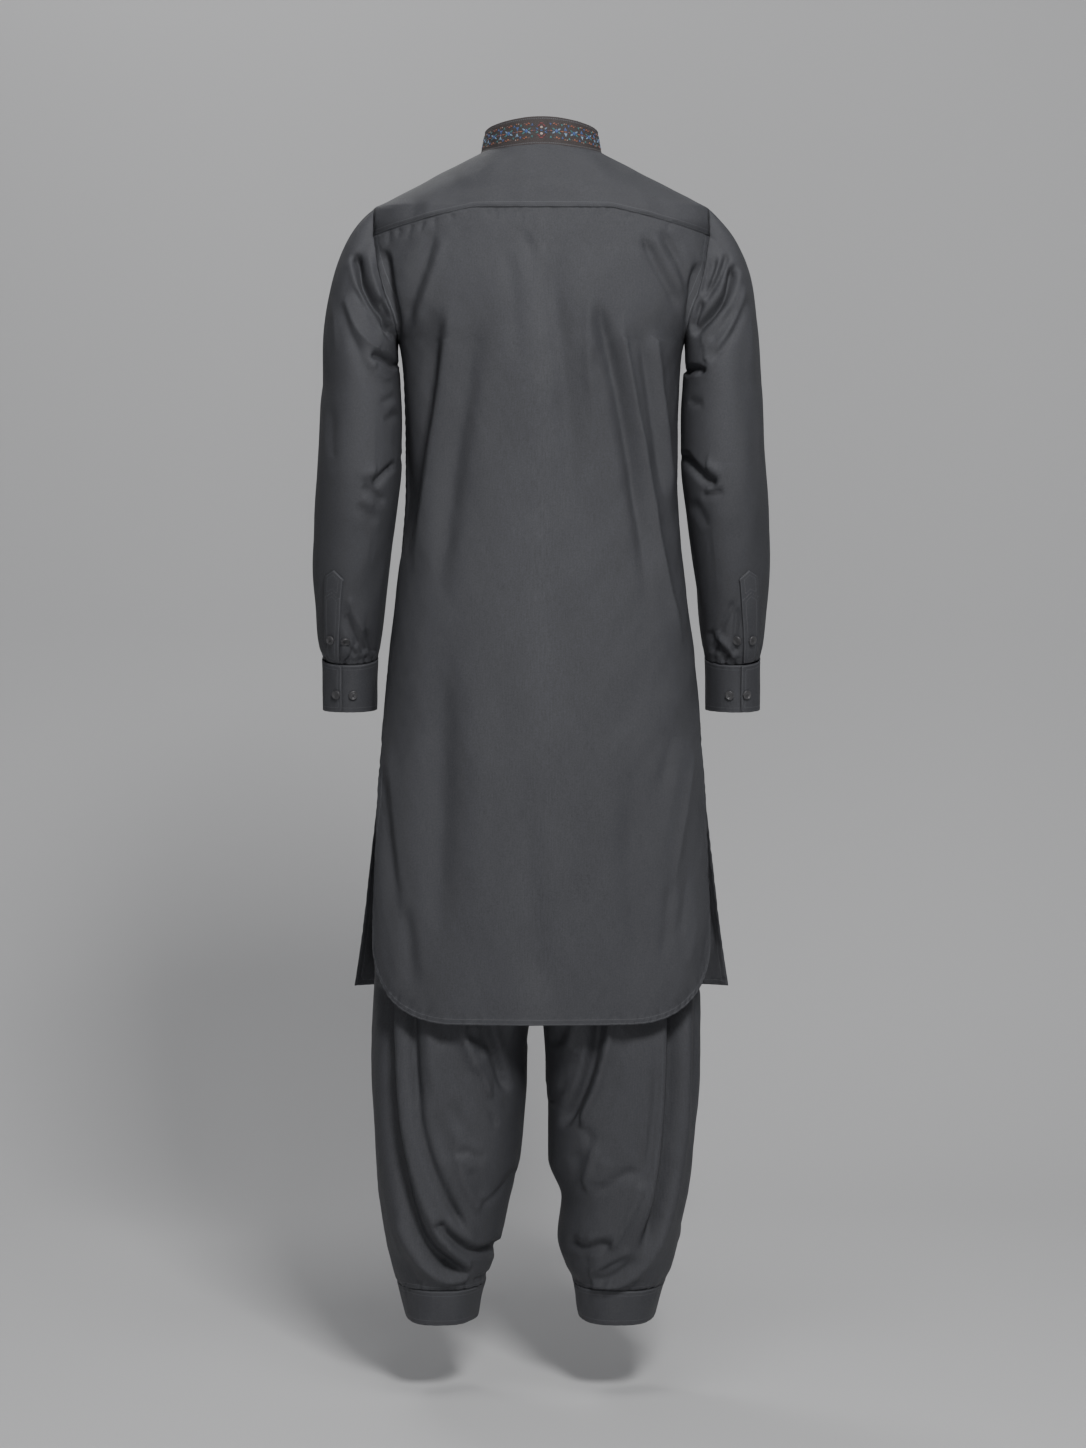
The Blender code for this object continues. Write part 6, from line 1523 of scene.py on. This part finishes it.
def on_collar(along, up):
    """Point and facing of the collar's outer face, from millimetres along it and up it."""
    row = up / 1000.0 / float(collar_up[-1].mean()) * (len(collar_points) - 1)
    column = np.interp(along / 1000.0, collar_around[12], np.arange(collar_points.shape[1]))
    row = min(max(row, 0.0), len(collar_points) - 1.001)
    column = min(max(column, 0.0), collar_points.shape[1] - 1.001)
    low_row = int(row)
    low_column = int(column)
    found = []
    for grid in (collar_points, collar_normals):
        upper = grid[low_row, low_column] * (1.0 - column + low_column) + grid[low_row, low_column + 1] * (
            column - low_column)
        lower = grid[low_row + 1, low_column] * (1.0 - column + low_column) + grid[
            low_row + 1, low_column + 1] * (column - low_column)
        found.append(upper * (1.0 - row + low_row) + lower * (row - low_row))
    return found


stitched = bmesh.new()
dyed = stitched.verts.layers.float_color.new("thread_colour")
for number, (shape, along, up, long, wide, turn, thread) in enumerate(motifs):
    outline = SHAPES[shape](long, wide)
    angle = math.radians(turn)
    spun = outline @ np.array([[math.cos(angle), math.sin(angle)], [-math.sin(angle), math.cos(angle)]])
    shade = 0.85 + 0.30 * ((number * 37) % 11) / 11.0
    colour = tuple(channel * shade for channel in THREADS[thread]) + (1.0,)
    rings = []
    for scale, height in ((1.0, -0.0003), (1.0, 0.00012), (0.66, 0.00042)):
        ring = []
        for x, z in spun * scale:
            place, facing = on_collar(along + x, up + z)
            point = stitched.verts.new(place + facing * height)
            point[dyed] = colour
            ring.append(point)
        rings.append(ring)
    place, facing = on_collar(along, up)
    top = stitched.verts.new(place + facing * 0.00052)
    top[dyed] = colour
    foot = stitched.verts.new(place - facing * 0.0003)
    foot[dyed] = colour
    count = len(outline)
    for n in range(count):
        after = (n + 1) % count
        stitched.faces.new((rings[0][n], rings[0][after], rings[1][after], rings[1][n]))
        stitched.faces.new((rings[1][n], rings[1][after], rings[2][after], rings[2][n]))
        stitched.faces.new((rings[2][n], rings[2][after], top))
        stitched.faces.new((rings[0][after], rings[0][n], foot))
bmesh.ops.recalc_face_normals(stitched, faces=stitched.faces)
embroidery_mesh = bpy.data.meshes.new("collar_embroidery")
stitched.to_mesh(embroidery_mesh)
stitched.free()
collar_embroidery = bpy.data.objects.new("collar_embroidery", embroidery_mesh)
bpy.context.scene.collection.objects.link(collar_embroidery)
embroidery_mesh.materials.append(embroidery)
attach(collar_embroidery, "root")


# One button, turned with two rims round a dished middle, and its crossed thread.
def pick_faces(piece, wanted):
    """In edit mode, select only the faces that the test wants."""
    shape = bmesh.from_edit_mesh(piece.data)
    for face in shape.faces:
        face.select_set(wanted(face))
    bmesh.update_edit_mesh(piece.data)


bpy.ops.object.select_all(action="DESELECT")
bpy.ops.mesh.primitive_cylinder_add(vertices=36, radius=0.0057, depth=0.0020, location=(0.0, 0.0, 0.0010))
first_button = bpy.context.object
bpy.ops.object.transform_apply(location=True, rotation=True, scale=True)
bpy.ops.object.mode_set(mode="EDIT")
bpy.ops.mesh.select_mode(type="FACE")
bpy.ops.mesh.select_all(action="DESELECT")
pick_faces(first_button, lambda face: face.normal.z > 0.9)
for inward, lift in ((0.0005, 0.0005), (0.0006, 0.0001), (0.0006, -0.0006), (0.0005, 0.0), (0.0004, 0.0003),
                     (0.0004, -0.0004)):
    bpy.ops.mesh.inset(thickness=inward)
    bpy.ops.transform.translate(value=(0.0, 0.0, lift))
bpy.ops.object.mode_set(mode="OBJECT")
soft = first_button.modifiers.new("soft_rim", "BEVEL")
soft.width = 0.00022
soft.segments = 2
soft.limit_method = "ANGLE"
soft.angle_limit = math.radians(25.0)
bpy.ops.object.modifier_apply(modifier="soft_rim")
first_button.data.materials.append(button_face)
thread_bars = []
for x in (-0.0008, 0.0008):
    bpy.ops.mesh.primitive_cylinder_add(vertices=10, radius=0.00032, depth=0.0026, location=(x, 0.0, 0.0022),
                                        rotation=(math.pi / 2.0, 0.0, 0.0))
    bar = bpy.context.object
    bpy.ops.object.transform_apply(location=True, rotation=True, scale=True)
    bar.data.materials.append(button_thread)
    thread_bars.append(bar)
bpy.ops.object.select_all(action="DESELECT")
for piece in thread_bars + [first_button]:
    piece.select_set(True)
bpy.context.view_layer.objects.active = first_button
bpy.ops.object.join()
first_button.data.shade_smooth()
pattern = np.array([tuple(point.co) for point in first_button.data.vertices])
buttons = []
for number, (name, place, facing) in enumerate(button_spots):
    facing = facing / np.linalg.norm(facing)
    side = np.cross(facing, np.array([0.0, 0.0, 1.0]))
    side = side / np.linalg.norm(side)
    up = np.cross(side, facing)
    spin = 0.5 + number * 1.3
    first = side * math.cos(spin) + up * math.sin(spin)
    second = np.cross(facing, first)
    mesh = first_button.data.copy()
    moved = (place + facing * 0.0002 + pattern[:, :1] * first + pattern[:, 1:2] * second
             + pattern[:, 2:] * facing)
    mesh.vertices.foreach_set("co", moved.astype(np.float32).ravel())
    mesh.update()
    copy = bpy.data.objects.new(name + "_turned", mesh)
    bpy.context.scene.collection.objects.link(copy)
    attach(copy, "root")
    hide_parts(name)
    buttons.append(copy)
bpy.data.objects.remove(first_button, do_unlink=True)

# Each sleeve's four buttons, looked up by name.
buttons_of = {piece.name: piece for piece in buttons}
for side_name, sleeve, placket, cuff in sleeve_pieces:
    buttons_of["placket_button_upper_" + side_name + "_turned"]
    buttons_of["placket_button_under_" + side_name + "_turned"]
    buttons_of["cuff_button_upper_" + side_name + "_turned"]
    buttons_of["cuff_button_under_" + side_name + "_turned"]


# Stage: pale floor running up into a pale wall.
stage_mesh = bpy.data.meshes.new("stage")
profile = [(6.0, -1.575), (-1.1, -1.575)]
profile += [(-1.1 - 0.9 * math.sin(turn), -1.575 + 0.9 * (1.0 - math.cos(turn)))
            for turn in np.linspace(0.15, math.pi / 2.0, 14)]
profile += [(-2.0, 3.6)]
stage_points = [(x, y, z) for y, z in profile for x in (-5.0, 5.0)]
stage_faces = [(2 * n, 2 * n + 1, 2 * n + 3, 2 * n + 2) for n in range(len(profile) - 1)]
stage_mesh.from_pydata(stage_points, [], stage_faces)
stage_mesh.update()
stage_mesh.shade_smooth()
stage = bpy.data.objects.new("stage", stage_mesh)
bpy.context.scene.collection.objects.link(stage)
pale = Finish("pale_stage")
pale.shade(Base_Color=(0.56, 0.56, 0.565, 1.0), Roughness=0.9)
stage_mesh.materials.append(pale.material)


def soft_light(name, place, target, size, power):
    light = bpy.data.lights.new(name, "AREA")
    light.shape = "RECTANGLE"
    light.size = size[0]
    light.size_y = size[1]
    light.energy = power
    lamp = bpy.data.objects.new(name, light)
    lamp.location = place
    aim = np.array(target) - np.array(place)
    tilt = math.acos(-aim[2] / np.linalg.norm(aim))
    lamp.rotation_euler = (tilt, 0.0, math.atan2(aim[1], aim[0]) - math.pi / 2.0)
    bpy.context.scene.collection.objects.link(lamp)
    return lamp


soft_light("key_light", (-0.7, 2.7, 1.5), (0.0, 0.0, -0.5), (0.7, 0.8), 105.0)
soft_light("low_light", (0.3, 3.6, -0.9), (0.0, 0.0, -1.1), (1.0, 0.8), 14.0)
soft_light("top_light", (-0.1, 0.9, 2.2), (0.0, 0.0, -0.3), (1.0, 0.8), 26.0)
soft_light("front_light", (0.9, -1.8, 1.5), (0.0, 0.0, -0.6), (0.9, 1.2), 24.0)
sky = bpy.data.worlds.new("studio_air")
sky.use_nodes = True
sky.node_tree.nodes["Background"].inputs["Color"].default_value = (0.93, 0.95, 1.0, 1.0)
sky.node_tree.nodes["Background"].inputs["Strength"].default_value = 0.12
bpy.context.scene.world = sky

lens = bpy.data.cameras.new("camera")
lens.sensor_width = 36.0
lens.lens = 82.5
lens.shift_y = -0.066
camera = bpy.data.objects.new("camera", lens)
camera.location = (-0.002, EYE_DISTANCE, EYE_HEIGHT)
camera.rotation_euler = (math.radians(90.0 - 2.0), 0.0, math.pi)
bpy.context.scene.collection.objects.link(camera)
bpy.context.scene.camera = camera
